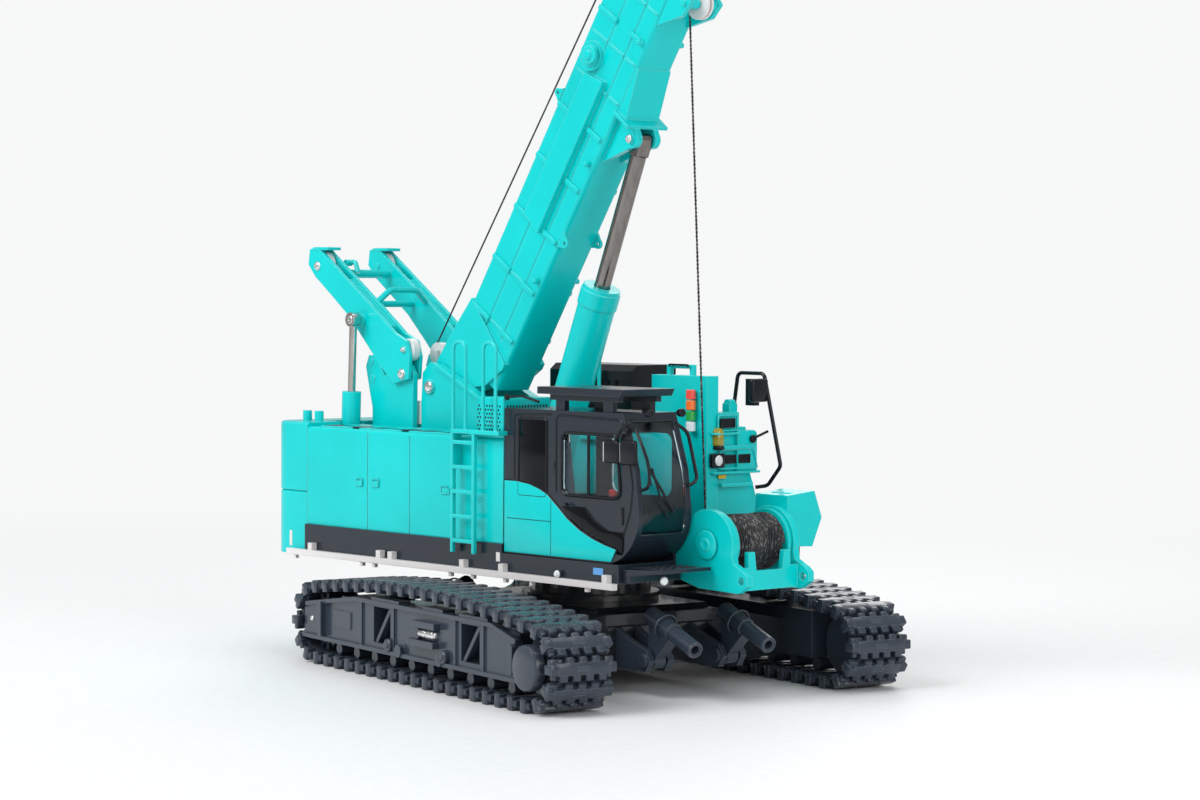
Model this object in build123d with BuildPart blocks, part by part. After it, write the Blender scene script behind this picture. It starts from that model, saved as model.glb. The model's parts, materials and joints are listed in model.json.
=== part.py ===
"""Crawler crane with a telescopic boom: a 1:50 scale model, in millimetres.

+Z is up, +Y is the superstructure's front and +X its cab side. The origin is
on the slewing axis, on the ground. The undercarriage is drawn straight and then
turned under the superstructure; the boom, lift cylinder, mast and jacks are
drawn level, each from its own pin, and then raised to their resting angles.
"""

from build123d import *
import os
from math import atan2, cos, degrees, hypot, pi, radians, sin

os.makedirs("parts", exist_ok=True)

# ---------------------------------------------------------------- driving sizes
running_gap = 0.2          # between faces that slide or turn on each other
seat_gap = 0.05            # between a pane or insert and its opening
pin_gap = 0.05             # between a pin and its bore

# resting position
slew_angle = 10.1          # undercarriage turned under the superstructure, clockwise
boom_angle = 56.9          # boom above level
jack_angle = -19.0         # jack cylinders below level, nose down

# tracks
track_gauge = 83.4         # centre to centre of the two tracks
shoe_width = 17.4
wheel_base = 106.8         # sprocket centre to idler centre
wheel_radius = 10.45       # over the shoes
crown_height = 24.3        # top of the upper run, at its middle
shoe_count = 48
lug_height = 1.3
shoe_root = 4.9            # length of a shoe's plate at its root
shoe_tip = 4.1             # length of a shoe's plate at its tip
wing_width = 1.7           # shoe ends that stand clear of each other
wing_root = 3.4            # length of a shoe's end at its root
wing_tip = 2.8             # length of a shoe's end at its tip
wing_depth = 1.2           # gaps between shoe ends, below the plates' roots
band_thickness = 1.7       # links under the shoes

# track frames
frame_plate = 2.0          # outer side plate
frame_inset = 1.5          # outer side plate behind the shoe ends
frame_low = 6.5
frame_high = 18.9
frame_core_inset = 2.2     # inner face behind the inner shoe ends
frame_rail = (             # upper edge rail: along, up
    (-57.0, 15.4), (-30.3, 18.9), (35.6, 18.9), (47.0, 16.2),
)
frame_pads = ((-22.5, -8.5), (3.3, 13.0), (20.7, 33.9))    # skids on its top edge
frame_eyes = (-7.5, 12.5)  # tie-down eyes on its lower edge
hub_along = 2.0            # hub of the gauge cylinder's pin
roller_radius = 1.55
roller_count = 10
roller_pitch = 9.4
carrier_spread = 21.0      # carrier rollers before and behind the middle
sprocket_teeth = 13
frame_windows = (-17.5, 25.5)      # middles of its two braced windows
window_half = 4.3
frame_ribs = (-28.0, -11.5, 18.5, 31.5)
idler_cap_radius = 4.3
idler_cap_inset = 1.6      # its face behind the outer side plate
axle_radius = 1.1

# car body
body_half_width = 16.0
body_half_length = 21.0
body_low = 6.0
body_high = 19.5
axle_spread = 27.0         # cross beams before and behind the slewing axis
axle_beam = 11.0
ring_radius = 15.0
ring_top = 25.4

# jacks
jack_side = 10.3           # to each side of the middle
jack_pin_y = 45.0
jack_pin_z = 8.9
jack_radius = 1.95
jack_length = 19.0
jack_back = 5.0            # part of it behind the pin
jack_bore = 1.1            # socket for the foot, in its nose
jack_bore_depth = 6.0
jack_lift = 9.0            # cylinder axis above its pin

# superstructure deck
deck_low = 27.2
deck_high = 33.9
deck_half_width = 30.2
deck_rear = -76.9
deck_front = 42.5
rail_height = 1.5          # catwalk edge rail
rail_width = 1.6
ladder_stand_off = 0.5     # ladder outside the catwalk rail
ladder_rear = -15.4
ladder_front = -6.6
ladder_low = 31.0
ladder_pitch = 6.0         # 300 mm between rungs at full size
rail_top = 82.2            # bowed grab rails
rail_low = 25.9
rail_rear = -82.8
rail_front = 42.2
rail_posts = (-73.5, -45.2, -40.5, -12.6, 2.0, 38.6)
rail_pegs = (-80.0, -52.0, -47.0, -17.0, -8.5, 3.5, 13.0, 32.5)

# housings
house_side = deck_half_width - 0.85
house_inner = 13.0
house_top = 59.2
house_front = 0.9
left_house_front = 9.3
door_lines = (-51.7, -34.8, -17.0)
door_proud = 0.35
latch_places = ((-55.0, 45.5), (-48.6, 45.6), (-20.4, 45.4))   # along, up
weight_rear = -93.0
weight_low = 25.8
weight_split = 42.4
weight_top = 60.2
weight_corner = 7.0
weight_posts = ((24.0, -79.0), (24.0, -84.0), (-24.0, -79.0), (-24.0, -84.0))

# cab
cab_rear = 1.4
cab_front = 48.2
cab_low = 31.8
cab_top = 66.6
cab_inner = 12.4
cab_wall = 1.0
pane = 0.45

guard_rear = 14.0          # roof guard
guard_front = 42.5
guard_low = 70.4

# console tower on the left
tower_inner = -11.5
tower_front = 29.0
tower_top = 61.6
tower_ledges = ((56.3, 1.6, 3.0), (47.2, 2.2, 3.4))   # up, reach, start
tower_wall_top = 74.2
tower_wall = 3.8

# air intake box on the left housing
hood_rear = -30.0
hood_front = 0.6

# boom, along its own axis from the foot pin
foot_y = -52.0
foot_z = 69.7
boom_width = 11.8
boom_depth = 20.2
boom_drop = 9.0            # boom centre line below the foot pin
boom_wall = 0.8
boom_start = 12.0
rib_places = (26.0, 40.5, 55.5, 70.5, 85.0, 95.2, 106.0, 120.0, 140.0, 160.0, 180.0)
rib_low = -18.2            # across the side: from, to
rib_high = -0.5
rib_proud = 0.3
groove_lanes = (-7.1, -14.0)
boss_along = 100.5
boss_across = -4.0
boss_radius = 3.7
hose_start = 54.7         # raised hose guard on the right side
hose_end = 97.8
hose_low = -12.0
hose_high = -5.0
hose_proud = 1.6
deflector_along = 126.6    # rope deflector sheave under the base section
deflector_below = 5.2
deflector_radius = 3.6
deflector_side = 5.4       # outer faces of its two arms
boom_end = 203.0
section_gap = 0.3          # between one telescoping section and the next
section_step = 4.0         # each section shows this much at rest
section_count = 3
section_tail = 24.0        # what stays inside when a section is run out
head_length = 15.0
head_sheave_radius = 4.0
head_pin_below = 2.5       # under the base section's lower face
rope_radius = 0.28

# boom foot brackets
bracket_inner = 7.0
bracket_plate = 1.8
bracket_top = 75.7
pin_radius = 0.75

# lift cylinder
lift_foot_y = -19.5
lift_foot_z = 38.0
lift_pin_along = 89.8      # on the boom, from its foot pin
lift_pin_below = 5.9       # under the boom's lower face
lift_barrel_radius = 4.7
lift_barrel_length = 62.2
lift_rod_radius = 2.0
lift_eye_width = 4.0
lift_eye_radius = 1.4      # rounded end of the rod, at the clevis pin
lift_eye_neck = 4.0        # flattened part of the rod before the pin
lift_collar = 5.0
lift_reach_max = 116.0     # longest distance between its two pins
clevis_plate = 1.6

# assembly mast
mast_y = -59.2
mast_z = 72.9
mast_side = 10.15          # middle of each arm, to each side
mast_arm_width = 4.4
mast_plate = 1.0
mast_pin_x = 15.0          # its two cylinders, to each side
mast_eye_y = -76.2
mast_eye_z = 86.8
mast_foot_y = -77.5
mast_foot_z = 47.0
mast_barrel_radius = 2.5
mast_barrel_length = 21.0
mast_rod_radius = 1.0
mast_eye_width = 3.0

# front winch
winch_y = 53.0
winch_z = 36.2
winch_side = 11.8          # outer faces of its side plates
winch_plate = 1.8
winch_radius = 8.2
winch_pin_y = 64.0
winch_pin_z = 28.4
winch_low = 25.9
lug_bore = 1.0             # pin hole in the front lugs
drum_radius = 5.4
flange_radius = 7.6

# main winch, between the housings
main_drum_y = -67.0
main_drum_z = 44.0

# hook block
hook_drop = 34.0           # head sheave pin to hook block pin
hook_radius = 3.4


# ------------------------------------------------------------------- helpers
def block(x0, x1, y0, y1, z0, z1, mode=Mode.ADD):
    """A box given by its two corners, for use inside a part."""
    with Locations(((x0 + x1) / 2, (y0 + y1) / 2, (z0 + z1) / 2)):
        Box(abs(x1 - x0), abs(y1 - y0), abs(z1 - z0), mode=mode)


def side_profile(points, x0, x1, mode=Mode.ADD):
    """A closed outline of (y, z) corners, as thick as from x0 to x1."""
    with BuildSketch(Plane.YZ.offset(x0)) as outline:
        with BuildLine():
            Polyline(*points, close=True)
        make_face()
    extrude(outline.sketch, amount=x1 - x0, mode=mode)


def cross_pin(radius, y, z, x0, x1, mode=Mode.ADD):
    """A round pin or hole across the machine, from x0 to x1."""
    with BuildSketch(Plane.YZ.offset(x0)) as circle:
        with Locations((y, z)):
            Circle(radius)
    extrude(circle.sketch, amount=x1 - x0, mode=mode)


def small_boss(radius, y, z, x0, x1):
    """A small pin head or roller across the machine, with plain facets."""
    with BuildSketch(Plane.YZ.offset(min(x0, x1))) as outline:
        with Locations((y, z)):
            RegularPolygon(radius, 10)
    extrude(outline.sketch, amount=abs(x1 - x0))


def toothed_wheel(y, z, x0, x1, root, tip, teeth):
    """A disc with square teeth, across the machine."""
    with BuildSketch(Plane.YZ.offset(x0)) as outline:
        with Locations((y, z)):
            RegularPolygon(root, 2 * teeth)
            with PolarLocations((root + tip) / 2 - 0.4, teeth):
                Rectangle(tip - root + 0.8, pi * root / teeth)
    extrude(outline.sketch, amount=x1 - x0)


def front_profile(points, y0, y1, mode=Mode.ADD):
    """A closed outline of (x, z) corners, as thick as from y0 to y1."""
    with BuildSketch(Plane.XZ.offset(-y1)) as outline:
        with BuildLine():
            Polyline(*points, close=True)
        make_face()
    extrude(outline.sketch, amount=y1 - y0, mode=mode)


def tube(points, radius, bend):
    """A bent round tube along its corner points, for use inside a part."""
    with BuildLine() as path:
        FilletPolyline(*points, radius=bend)
    start = path.line @ 0
    with BuildSketch(Plane(origin=start, z_dir=path.line % 0)) as section:
        RegularPolygon(radius, 8)
    sweep(section.sketch, path=path.line)


def upright(radius, x, y, z0, z1, mode=Mode.ADD):
    """A round post or hole standing at x, y."""
    with BuildSketch(Plane.XY.offset(z0)) as circle:
        with Locations((x, y)):
            Circle(radius)
    extrude(circle.sketch, amount=z1 - z0, mode=mode)


def under_deck(part):
    """The undercarriage stands turned under the superstructure."""
    return Location((0, 0, 0), (0, 0, -slew_angle)) * part


def raised(part, y, z, angle):
    """A part drawn level from a pin, put on that pin and raised by an angle."""
    return Location((0, y, z), (angle, 0, 0)) * part


def mirrored(part):
    """The same part for the other side of the machine."""
    return part.mirror(Plane.YZ)


def save(part, name):
    part.label = name
    export_step(part, f"parts/{name}.step")


# -------------------------------------------------------------------- tracks
half_base = wheel_base / 2
crown_radius = (half_base ** 2 / (crown_height - 2 * wheel_radius) + crown_height) / 2
crown_centre = crown_height - crown_radius
crown_half = degrees(atan2(half_base, wheel_radius - crown_centre))
end_turn = 180 - crown_half


def loop_length(depth):
    """Length of the loop that runs depth under the shoes' outer faces."""
    ends = 2 * (wheel_radius - depth) * radians(end_turn)
    crown = (crown_radius - depth) * radians(2 * crown_half)
    return wheel_base + ends + crown


def loop_point(distance, depth, height):
    """Point at a distance along the loop, height outside it, as (y, z)."""
    radius = wheel_radius - depth
    turn = radius * radians(end_turn)
    crown = (crown_radius - depth) * radians(2 * crown_half)
    distance = distance % loop_length(depth)
    if distance < wheel_base:
        return (distance - half_base, depth - height)
    distance -= wheel_base
    if distance < turn:
        angle = -pi / 2 + distance / radius
        reach = radius + height
        return (half_base + reach * cos(angle), wheel_radius + reach * sin(angle))
    distance -= turn
    if distance < crown:
        angle = pi / 2 - radians(crown_half) + distance / (crown_radius - depth)
        reach = crown_radius - depth + height
        return (reach * cos(angle), crown_centre + reach * sin(angle))
    distance -= crown
    angle = pi / 2 + radians(crown_half) + distance / radius
    reach = radius + height
    return (-half_base + reach * cos(angle), wheel_radius + reach * sin(angle))


def loop_fill(depth, x0, x1, mode=Mode.ADD):
    """Everything inside the loop at a depth, of one line and three arcs."""
    def at(distance):
        return loop_point(distance, depth, 0)

    turn = (wheel_radius - depth) * radians(end_turn)
    crown = (crown_radius - depth) * radians(2 * crown_half)
    front, top = wheel_base, wheel_base + turn
    back = top + crown
    with BuildSketch(Plane.YZ.offset(x0)) as outline:
        with BuildLine():
            Line(at(0), (half_base, depth))
            ThreePointArc((half_base, depth), at(front + turn / 2), at(top))
            ThreePointArc(at(top), at(top + crown / 2), at(back))
            ThreePointArc(at(back), at(back + turn / 2), at(0))
        make_face()
    extrude(outline.sketch, amount=x1 - x0, mode=mode)


def shoe_band(lengths, heights, x0, x1):
    """Every shoe's section round the loop, as wide as from x0 to x1.

    lengths and heights are each shoe's root and tip.
    """
    pitch = loop_length(lug_height) / shoe_count
    (root, tip), (low, high) = lengths, heights
    outline = []
    for shoe in range(shoe_count):
        middle = (shoe + 0.5) * pitch
        for half, height in ((-root, low), (-tip, high), (tip, high), (root, low)):
            outline.append(loop_point(middle + half / 2, lug_height, height))
    with BuildSketch(Plane.YZ.offset(x0)) as band:
        with BuildLine():
            Polyline(*outline, close=True)
        make_face()
    extrude(band.sketch, amount=x1 - x0)


def track(x0):
    """One track: a fixed loop of shoes, their ends standing clear of each other."""
    x1 = x0 + shoe_width
    with BuildPart() as loop:
        shoe_band((shoe_root, shoe_tip), (0, lug_height), x0 + wing_width,
                  x1 - wing_width)
        for near, far in ((x0, x0 + wing_width), (x1 - wing_width, x1)):
            shoe_band((wing_root, wing_tip), (-wing_depth, lug_height), near, far)
        loop_fill(lug_height + band_thickness, x0, x1, Mode.SUBTRACT)
    return loop.part


track_inner = (track_gauge - shoe_width) / 2
track_outer = (track_gauge + shoe_width) / 2
frame_outer = track_outer - frame_inset
frame_inner = track_inner + frame_core_inset
wheel_tread = wheel_radius - lug_height - band_thickness - running_gap


def track_frame():
    """Side frame: a box beam with its outer plate, ribs and braced windows."""
    plate_inner = frame_outer - frame_plate
    low, high = frame_low + 2, frame_high - 1.6
    with BuildPart() as frame:
        block(frame_inner, plate_inner, -half_base + 11, half_base - 9,
              frame_low, frame_high - 1)
        side_profile(((-half_base - 5.6, frame_low), (half_base - 7.6, frame_low),
                      (half_base - 6.6, frame_low + 3), (half_base - 6.6, frame_high - 5),
                      (half_base - 9, frame_high - 2.4), (half_base - 20, frame_high),
                      (-half_base + 24, frame_high), (-half_base - 5.6, 14.6)),
                     plate_inner, frame_outer)
        for middle in frame_windows:
            block(plate_inner - 3, frame_outer, middle - window_half,
                  middle + window_half, low, high, mode=Mode.SUBTRACT)
            side_profile(((middle - window_half, low), (middle - window_half + 1.4, low),
                          (middle + window_half, high),
                          (middle + window_half - 1.4, high)),
                         plate_inner, frame_outer - 0.4)
        for rib in frame_ribs:
            block(frame_outer - 0.2, frame_outer + 0.5, rib, rib + 0.8, frame_low + 0.5,
                  frame_high - 0.5)
        proud = frame_outer + 0.9
        lower = [(y, z - 1.0) for y, z in frame_rail]
        side_profile((*frame_rail, *reversed(lower)), frame_outer - 0.2, proud)
        block(frame_outer - 0.2, proud, -half_base - 5.6, half_base - 5.4,
              frame_low - 0.2, frame_low + 0.8)
        for start, end in frame_pads:
            block(plate_inner - 1, frame_outer + 0.4, start, end, frame_high - 0.4,
                  frame_high + 0.7)
        for start, end, up in ((hub_along - 1.4, hub_along + 9.6, 15.5),
                               (hub_along - 3.6, hub_along + 9.0, 11.0)):
            block(frame_outer - 0.2, frame_outer + 2.0, start, end, up - 0.8, up + 0.7)
        small_boss(1.5, hub_along, 13.2, frame_outer - 0.2, frame_outer + 1.3)
        for y in frame_eyes:
            small_boss(1.6, y, frame_low + 1.3, frame_outer - 0.2, frame_outer + 1.3)
        block(frame_outer - 0.2, frame_outer + 0.3, -43.0, -33.5, 10.2, 14.6)
        side_profile(((-48.6, frame_low + 1), (-47.2, frame_low + 1), (-47.2, 16.2),
                      (-48.6, 16.0), (-49.6, 12.6)), frame_outer - 0.2, frame_outer + 1.6)
        side_profile(((half_base - 7.6, 8.0), (half_base - 6.6, 8.4),
                      (half_base - 6.6, 14.6), (half_base - 7.6, 15.0),
                      (half_base - 8.6, 11.5)), frame_outer - 0.2, frame_outer + 1.6)
    return frame.part


def track_wheels():
    """Rear sprocket, front idler with its cap, lower rollers and carriers."""
    tread_inner = frame_inner + 3.0
    tread_outer = frame_outer - frame_plate - 1.2
    cap = frame_outer - idler_cap_inset
    with BuildPart() as wheels:
        toothed_wheel(-half_base, wheel_radius, tread_inner, tread_outer,
                      wheel_tread - 1.4, wheel_tread, sprocket_teeth)
        small_boss(3.6, -half_base, wheel_radius, tread_outer, frame_outer - frame_plate)
        cross_pin(wheel_tread, half_base, wheel_radius, tread_inner, tread_outer)
        toothed_wheel(half_base, wheel_radius, tread_outer, cap - 1.2,
                      idler_cap_radius + 0.3, idler_cap_radius + 0.9, 16)
        cross_pin(idler_cap_radius, half_base, wheel_radius, cap - 1.2, cap)
        low = lug_height + band_thickness + roller_radius + running_gap / 2
        for place in range(roller_count):
            middle = (place - (roller_count - 1) / 2) * roller_pitch
            small_boss(roller_radius, middle, low, tread_inner, frame_outer - 1.2)
        reach = crown_radius - lug_height - band_thickness
        top = crown_centre + (reach ** 2 - carrier_spread ** 2) ** 0.5
        for middle in (-carrier_spread, carrier_spread):
            small_boss(1.2, middle, top - 1.2 - running_gap, tread_inner, tread_outer)
    return wheels.part


# ------------------------------------------------------------------ car body
def car_body():
    """Centre box, the two tapered cross beams and the turntable base."""
    length = body_half_length + 12
    with BuildPart() as body:
        side_profile(((-length, body_low), (length, body_low), (length, body_high - 4),
                      (length - 6, body_high), (6 - length, body_high),
                      (-length, body_high - 4)), -body_half_width, body_half_width)
        for middle in (-axle_spread, axle_spread):
            front_profile(((-frame_inner, body_low), (frame_inner, body_low),
                           (frame_inner, frame_high - 4), (body_half_width, body_high - 1),
                           (-body_half_width, body_high - 1),
                           (-frame_inner, frame_high - 4)),
                          middle - axle_beam / 2, middle + axle_beam / 2)
        upright(ring_radius + 2, 0, 0, body_high, body_high + 1.5)
    return body.part


def slew_ring():
    """Turntable ring between the car body and the superstructure."""
    with BuildPart() as ring:
        upright(ring_radius, 0, 0, body_high + 1.5, ring_top)
    return ring.part


def jack_brackets():
    """Four forked arms on the car body that carry the jacks."""
    root = body_half_length + 12
    with BuildPart() as brackets:
        for side in (-jack_side, jack_side):
            for end in (-1, 1):
                for cheek in (-3.4, 1.9):
                    side_profile(((end * root, body_low), (end * (jack_pin_y + 0.6), 6.2),
                                  (end * (jack_pin_y + 2.5), jack_pin_z),
                                  (end * (jack_pin_y + 0.8), jack_pin_z + 2.6),
                                  (end * (root + 5), body_high - 6),
                                  (end * root, body_high - 4)),
                                 side + cheek, side + cheek + 1.5)
                for x0 in (side - 4.0, side + 3.4):
                    small_boss(1.6, end * jack_pin_y, jack_pin_z, x0, x0 + 0.6)
    return brackets.part


def jack():
    """A jack cylinder lying on its pin, drawn level, nose to the front."""
    with BuildPart() as cylinder:
        with BuildSketch(Plane.XZ.offset(jack_back)):
            with Locations((0, jack_lift)):
                Circle(jack_radius + 0.3)
        extrude(amount=-jack_length / 2)
        with BuildSketch(Plane.XZ.offset(jack_back)):
            with Locations((0, jack_lift)):
                Circle(jack_radius)
        extrude(amount=-jack_length)
        with BuildSketch(Plane.XZ.offset(jack_back - jack_length)):
            with Locations((0, jack_lift)):
                Circle(jack_bore)
        extrude(amount=jack_bore_depth, mode=Mode.SUBTRACT)
        side_profile(((-1.6, 1.0), (1.6, 1.0), (5.5, jack_lift - 1.2),
                      (-3.5, jack_lift - 1.2)), -1.5, 1.5)
        cross_pin(2.0, 0, 0, -1.5, 1.5)
    return cylinder.part


# ---------------------------------------------------------------------- deck
def deck():
    """Main frame of the superstructure."""
    with BuildPart() as slab:
        block(-deck_half_width, deck_half_width, deck_rear, deck_front,
              deck_low, deck_high)
        block(cab_inner - 0.1, deck_half_width + 1, cab_rear - 0.1, deck_front + 1,
              cab_low - 0.1, deck_high + 1, Mode.SUBTRACT)
        upright(ring_radius, 0, 0, ring_top + running_gap, deck_low)
    return slab.part


def catwalk(side):
    """White edge rail along one side of the deck, with its posts and pegs."""
    near = side * deck_half_width
    far = side * (deck_half_width + rail_width)
    low, high = min(near, far), max(near, far)
    middle = (low + high) / 2
    with BuildPart() as rail:
        block(low, high, rail_rear, rail_front, rail_low, rail_low + rail_height)
        for place in rail_posts:
            block(low, high, place, place + 1.7, rail_low + rail_height, rail_low + 3.4)
        for place in rail_pegs:
            block(middle - 0.5, middle + 0.5, place, place + 1.0, rail_low - 1.0, rail_low)
    return rail.part


def house(front):
    """One engine or hydraulics housing, on the right; mirrored for the left."""
    half = mast_barrel_radius + 1
    with BuildPart() as cover:
        block(house_inner, house_side, deck_rear, front, deck_high, house_top)
        fillet(cover.edges().filter_by(Axis.Y).group_by(Axis.Z)[-1], 1.0)
        block(house_inner - 1, mast_pin_x + half, deck_rear - 1, mast_foot_y + 7.5,
              mast_foot_z - 5, house_top + 1, Mode.SUBTRACT)
        for line in door_lines:
            block(house_side - 0.3, house_side + 1, line - 0.15, line + 0.15,
                  deck_high - 1, house_top - 0.8, Mode.SUBTRACT)
    return cover.part


def doors():
    """Latches and hinges of the door panels on one housing's side."""
    with BuildPart() as panels:
        for y, z in latch_places:
            block(house_side + 0.02, house_side + door_proud, y - 1.3, y + 1.3,
                  z - 0.7, z + 0.7)
    return panels.part


def counterweight(low, high):
    """One slab of the counterweight, its rear corners rounded."""
    with BuildPart() as slab:
        block(-house_side, house_side, weight_rear, deck_rear - 0.1, low, high)
        rear = slab.edges().filter_by(Axis.Z).group_by(Axis.Y)[0]
        fillet(rear, weight_corner)
        chamfer(slab.faces().sort_by(Axis.Z)[-1].edges().group_by(Axis.Y)[0], 0.5)
        if high > house_top:
            for side in (-mast_pin_x, mast_pin_x):
                half = mast_barrel_radius + 1
                block(side - half, side + half, mast_foot_y - 5, deck_rear + 1,
                      mast_foot_z - 5, high + 1, Mode.SUBTRACT)
            for x, y in weight_posts:
                with BuildSketch(Plane.XY.offset(high - 0.2)) as post:
                    with Locations((x, y)):
                        RegularPolygon(1.2, 10)
                extrude(post.sketch, amount=3.0)
    return slab.part


# ----------------------------------------------------------------------- cab
def cab_fill(inset, x0, x1, mode=Mode.ADD):
    """The cab's side outline drawn in by inset, as wide as from x0 to x1."""
    low, top = cab_low + inset, cab_top - inset
    rear, front = cab_rear + inset, cab_front - inset
    with BuildSketch(Plane.YZ.offset(x0)) as outline:
        with BuildLine():
            Line((rear, low), (front - 9.5, low))
            ThreePointArc((front - 9.5, low), (front - 2.2, low + 4.6),
                          (front, low + 13))
            Line((front, low + 13), (front - 1.1, top - 13))
            Line((front - 1.1, top - 13), (front - 5.4, top))
            Line((front - 5.4, top), (rear, top))
            Line((rear, top), (rear, low))
        make_face()
    extrude(outline.sketch, amount=x1 - x0, mode=mode)


cab_windows = (             # side windows: y from, y to, z from, z to, corner
    (6.6, 16.6, 46.0, 64.4, 1.0),
    (22.2, 42.4, 46.9, 61.5, 2.2),
)
sill_window = ((23.0, 45.0), (26.5, 45.0), (33.0, 38.5), (43.0, 37.2), (43.0, 33.9),
               (31.5, 34.4), (27.6, 36.6))      # the low window ahead of the seat
skirt_edge = ((cab_rear + 0.3, 47.2), (7.0, 46.7), (12.5, 45.2), (18.0, 42.0),
              (26.5, 36.0), (35.0, 33.2), (41.0, cab_low + 0.3))


def side_opening(y0, y1, z0, z1, corner, x0, x1, mode=Mode.SUBTRACT):
    """A window with rounded corners through a side, or its pane."""
    with BuildSketch(Plane.YZ.offset(x0)) as outline:
        with Locations(((y0 + y1) / 2, (z0 + z1) / 2)):
            RectangleRounded(y1 - y0, z1 - z0, corner)
    extrude(outline.sketch, amount=x1 - x0, mode=mode)


def cab_shell():
    """Hollow cab with its windows and its wide front opening cut out."""
    with BuildPart() as shell:
        cab_fill(0, cab_inner, house_side)
        cab_fill(cab_wall, cab_inner + cab_wall, house_side - cab_wall, Mode.SUBTRACT)
        for y0, y1, z0, z1, corner in cab_windows:
            side_opening(y0, y1, z0, z1, corner, cab_inner - 1, house_side + 1)
        side_profile(sill_window, house_side - 2, house_side + 1, Mode.SUBTRACT)
        block(cab_inner + 1.6, house_side - 1.6, cab_front - 8, cab_front + 1,
              cab_low + 7, cab_top - 2.0, Mode.SUBTRACT)
        block(cab_inner + 2.5, house_side - 2.5, cab_rear - 1, cab_rear + 2, 50, 62,
              Mode.SUBTRACT)
    return shell.part


def cab_side_panel():
    """The painted lower panel on the cab's side, under a sweeping edge."""
    with BuildPart() as panel:
        corners = ((cab_rear + 0.3, cab_low + 0.3),) + skirt_edge
        side_profile(corners, house_side + 0.02, house_side + 0.32)
    return panel.part


def cab_glass():
    """Side panes, set back in their openings."""
    with BuildPart() as panes:
        for x in (house_side - 0.3 - pane, cab_inner + 0.3):
            for y0, y1, z0, z1, corner in cab_windows:
                side_opening(y0 + seat_gap, y1 - seat_gap, z0 + seat_gap, z1 - seat_gap,
                             corner, x, x + pane, Mode.ADD)
    return panes.part


def cab_windscreen():
    """The bent front pane, in the opening between the front pillars."""
    near = cab_inner + 1.6 + seat_gap
    far = house_side - 1.6 - seat_gap
    with BuildPart() as screen:
        cab_fill(0.2, near, far)
        cab_fill(0.2 + pane, near, far, Mode.SUBTRACT)
        block(near, far, cab_front - 7.9, cab_front + 1,
              cab_low + 7 + seat_gap, cab_top - 2.0 - seat_gap, Mode.INTERSECT)
    return screen.part


def cab_seat():
    """Operator's seat on its console, with the arm rests and control levers."""
    middle = (cab_inner + house_side) / 2
    low = cab_low + cab_wall
    with BuildPart() as seat:
        block(middle - 3, middle + 3, 14, 22, low, low + 7)
        block(middle - 3.4, middle + 3.4, 12, 23, low + 7, low + 9.5)
        side_profile(((12, low + 9), (14.5, low + 9), (12.5, low + 22),
                      (12, low + 25.5), (10.4, low + 25.5), (10, low + 12)),
                     middle - 3.4, middle + 3.4)
        for side in (-1, 1):
            near, far = middle + side * 4.0, middle + side * 6.4
            block(min(near, far), max(near, far), 15, 27, low, low + 11)
            block(middle + side * 5.2 - 0.4, middle + side * 5.2 + 0.4, 24, 24.8,
                  low + 11, low + 14.5)
    return seat.part


def roof_guard():
    """Guard plate over the cab roof, on two rails."""
    near, far = cab_inner + 1, house_side + 0.8
    with BuildPart() as guard:
        side_profile(((guard_rear, guard_low), (guard_front, guard_low),
                      (guard_front + 1, guard_low + 1.7), (guard_rear, guard_low + 1.7)),
                     near, far)
        for x in (near + 1.5, far - 3.0):
            block(x, x + 1.5, guard_rear + 3, guard_front - 2, guard_low - 1.4, guard_low)
            for y in (guard_rear + 5, guard_front - 7):
                block(x, x + 1.5, y, y + 3, cab_top, guard_low - 1.4)
    return guard.part


def cab_step():
    """Step platform ahead of the cab, on its bracket, with the lamp under it."""
    near, far = cab_inner + 0.2, house_side - 0.4
    with BuildPart() as step:
        side_profile(((deck_front, 28.9), (deck_front + 12.5, 30.4),
                      (deck_front + 12.5, 31.2), (deck_front, 30.6)), near, far)
        block(near, far, deck_front, deck_front + 2.5, deck_low + 0.4, 30)
    return step.part


# ------------------------------------------------------------- console tower
def tower():
    """Stepped console tower: a tall wall inside, and a fronted box outside it."""
    rear = left_house_front + 0.2
    outer, wall = -house_side, tower_inner - tower_wall
    front = tower_front - 0.6
    with BuildPart() as body:
        block(wall, tower_inner, rear, tower_front, deck_high, tower_wall_top)
        front_profile(((outer, deck_high), (wall, deck_high), (wall, tower_top),
                       (outer + 4, tower_top), (outer + 2.2, 50), (outer, 44)),
                      rear, front)
        block(wall - 7.4, wall, front - 8, front + 0.4, tower_top, tower_top + 3.6)
        for z, reach, start in tower_ledges:
            block(outer + start, wall, front, front + reach, z, z + 0.9)
        for y in (14.0, 22.0):
            block(wall + 1.2, wall + 2.4, y - 0.6, y + 0.6, tower_wall_top,
                  tower_wall_top + 1.8)
        block(wall + 1.2, wall + 2.4, 13.4, 22.6, tower_wall_top + 1.6,
              tower_wall_top + 2.6)
        small_boss(1.2, front - 4, tower_top + 5.5, wall - 9.5, wall - 7.6)
        block(wall - 10, wall - 7.2, front - 5.2, front - 2.8, tower_top, tower_top + 5.6)
    return body.part


def tower_lamps():
    """Stacked signal lamps, the amber beacon and the work lamp."""
    wall = tower_inner - tower_wall
    with BuildPart() as lamps:
        for level in range(4):
            low = 60.6 + level * 2.6
            with BuildSketch(Plane.XY.offset(low)) as lens:
                with Locations((tower_inner + 1.25, 24.5)):
                    RegularPolygon(1.2, 10)
            extrude(lens.sketch, amount=2.5)
        block(wall - 3.0, wall - 0.6, tower_front - 0.5, tower_front + 1.6, 57.4, 61.4)
        block(wall - 2.4, wall - 0.8, tower_front - 0.5, tower_front + 0.9, 51.8, 54.2)
    return lamps.part


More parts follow.
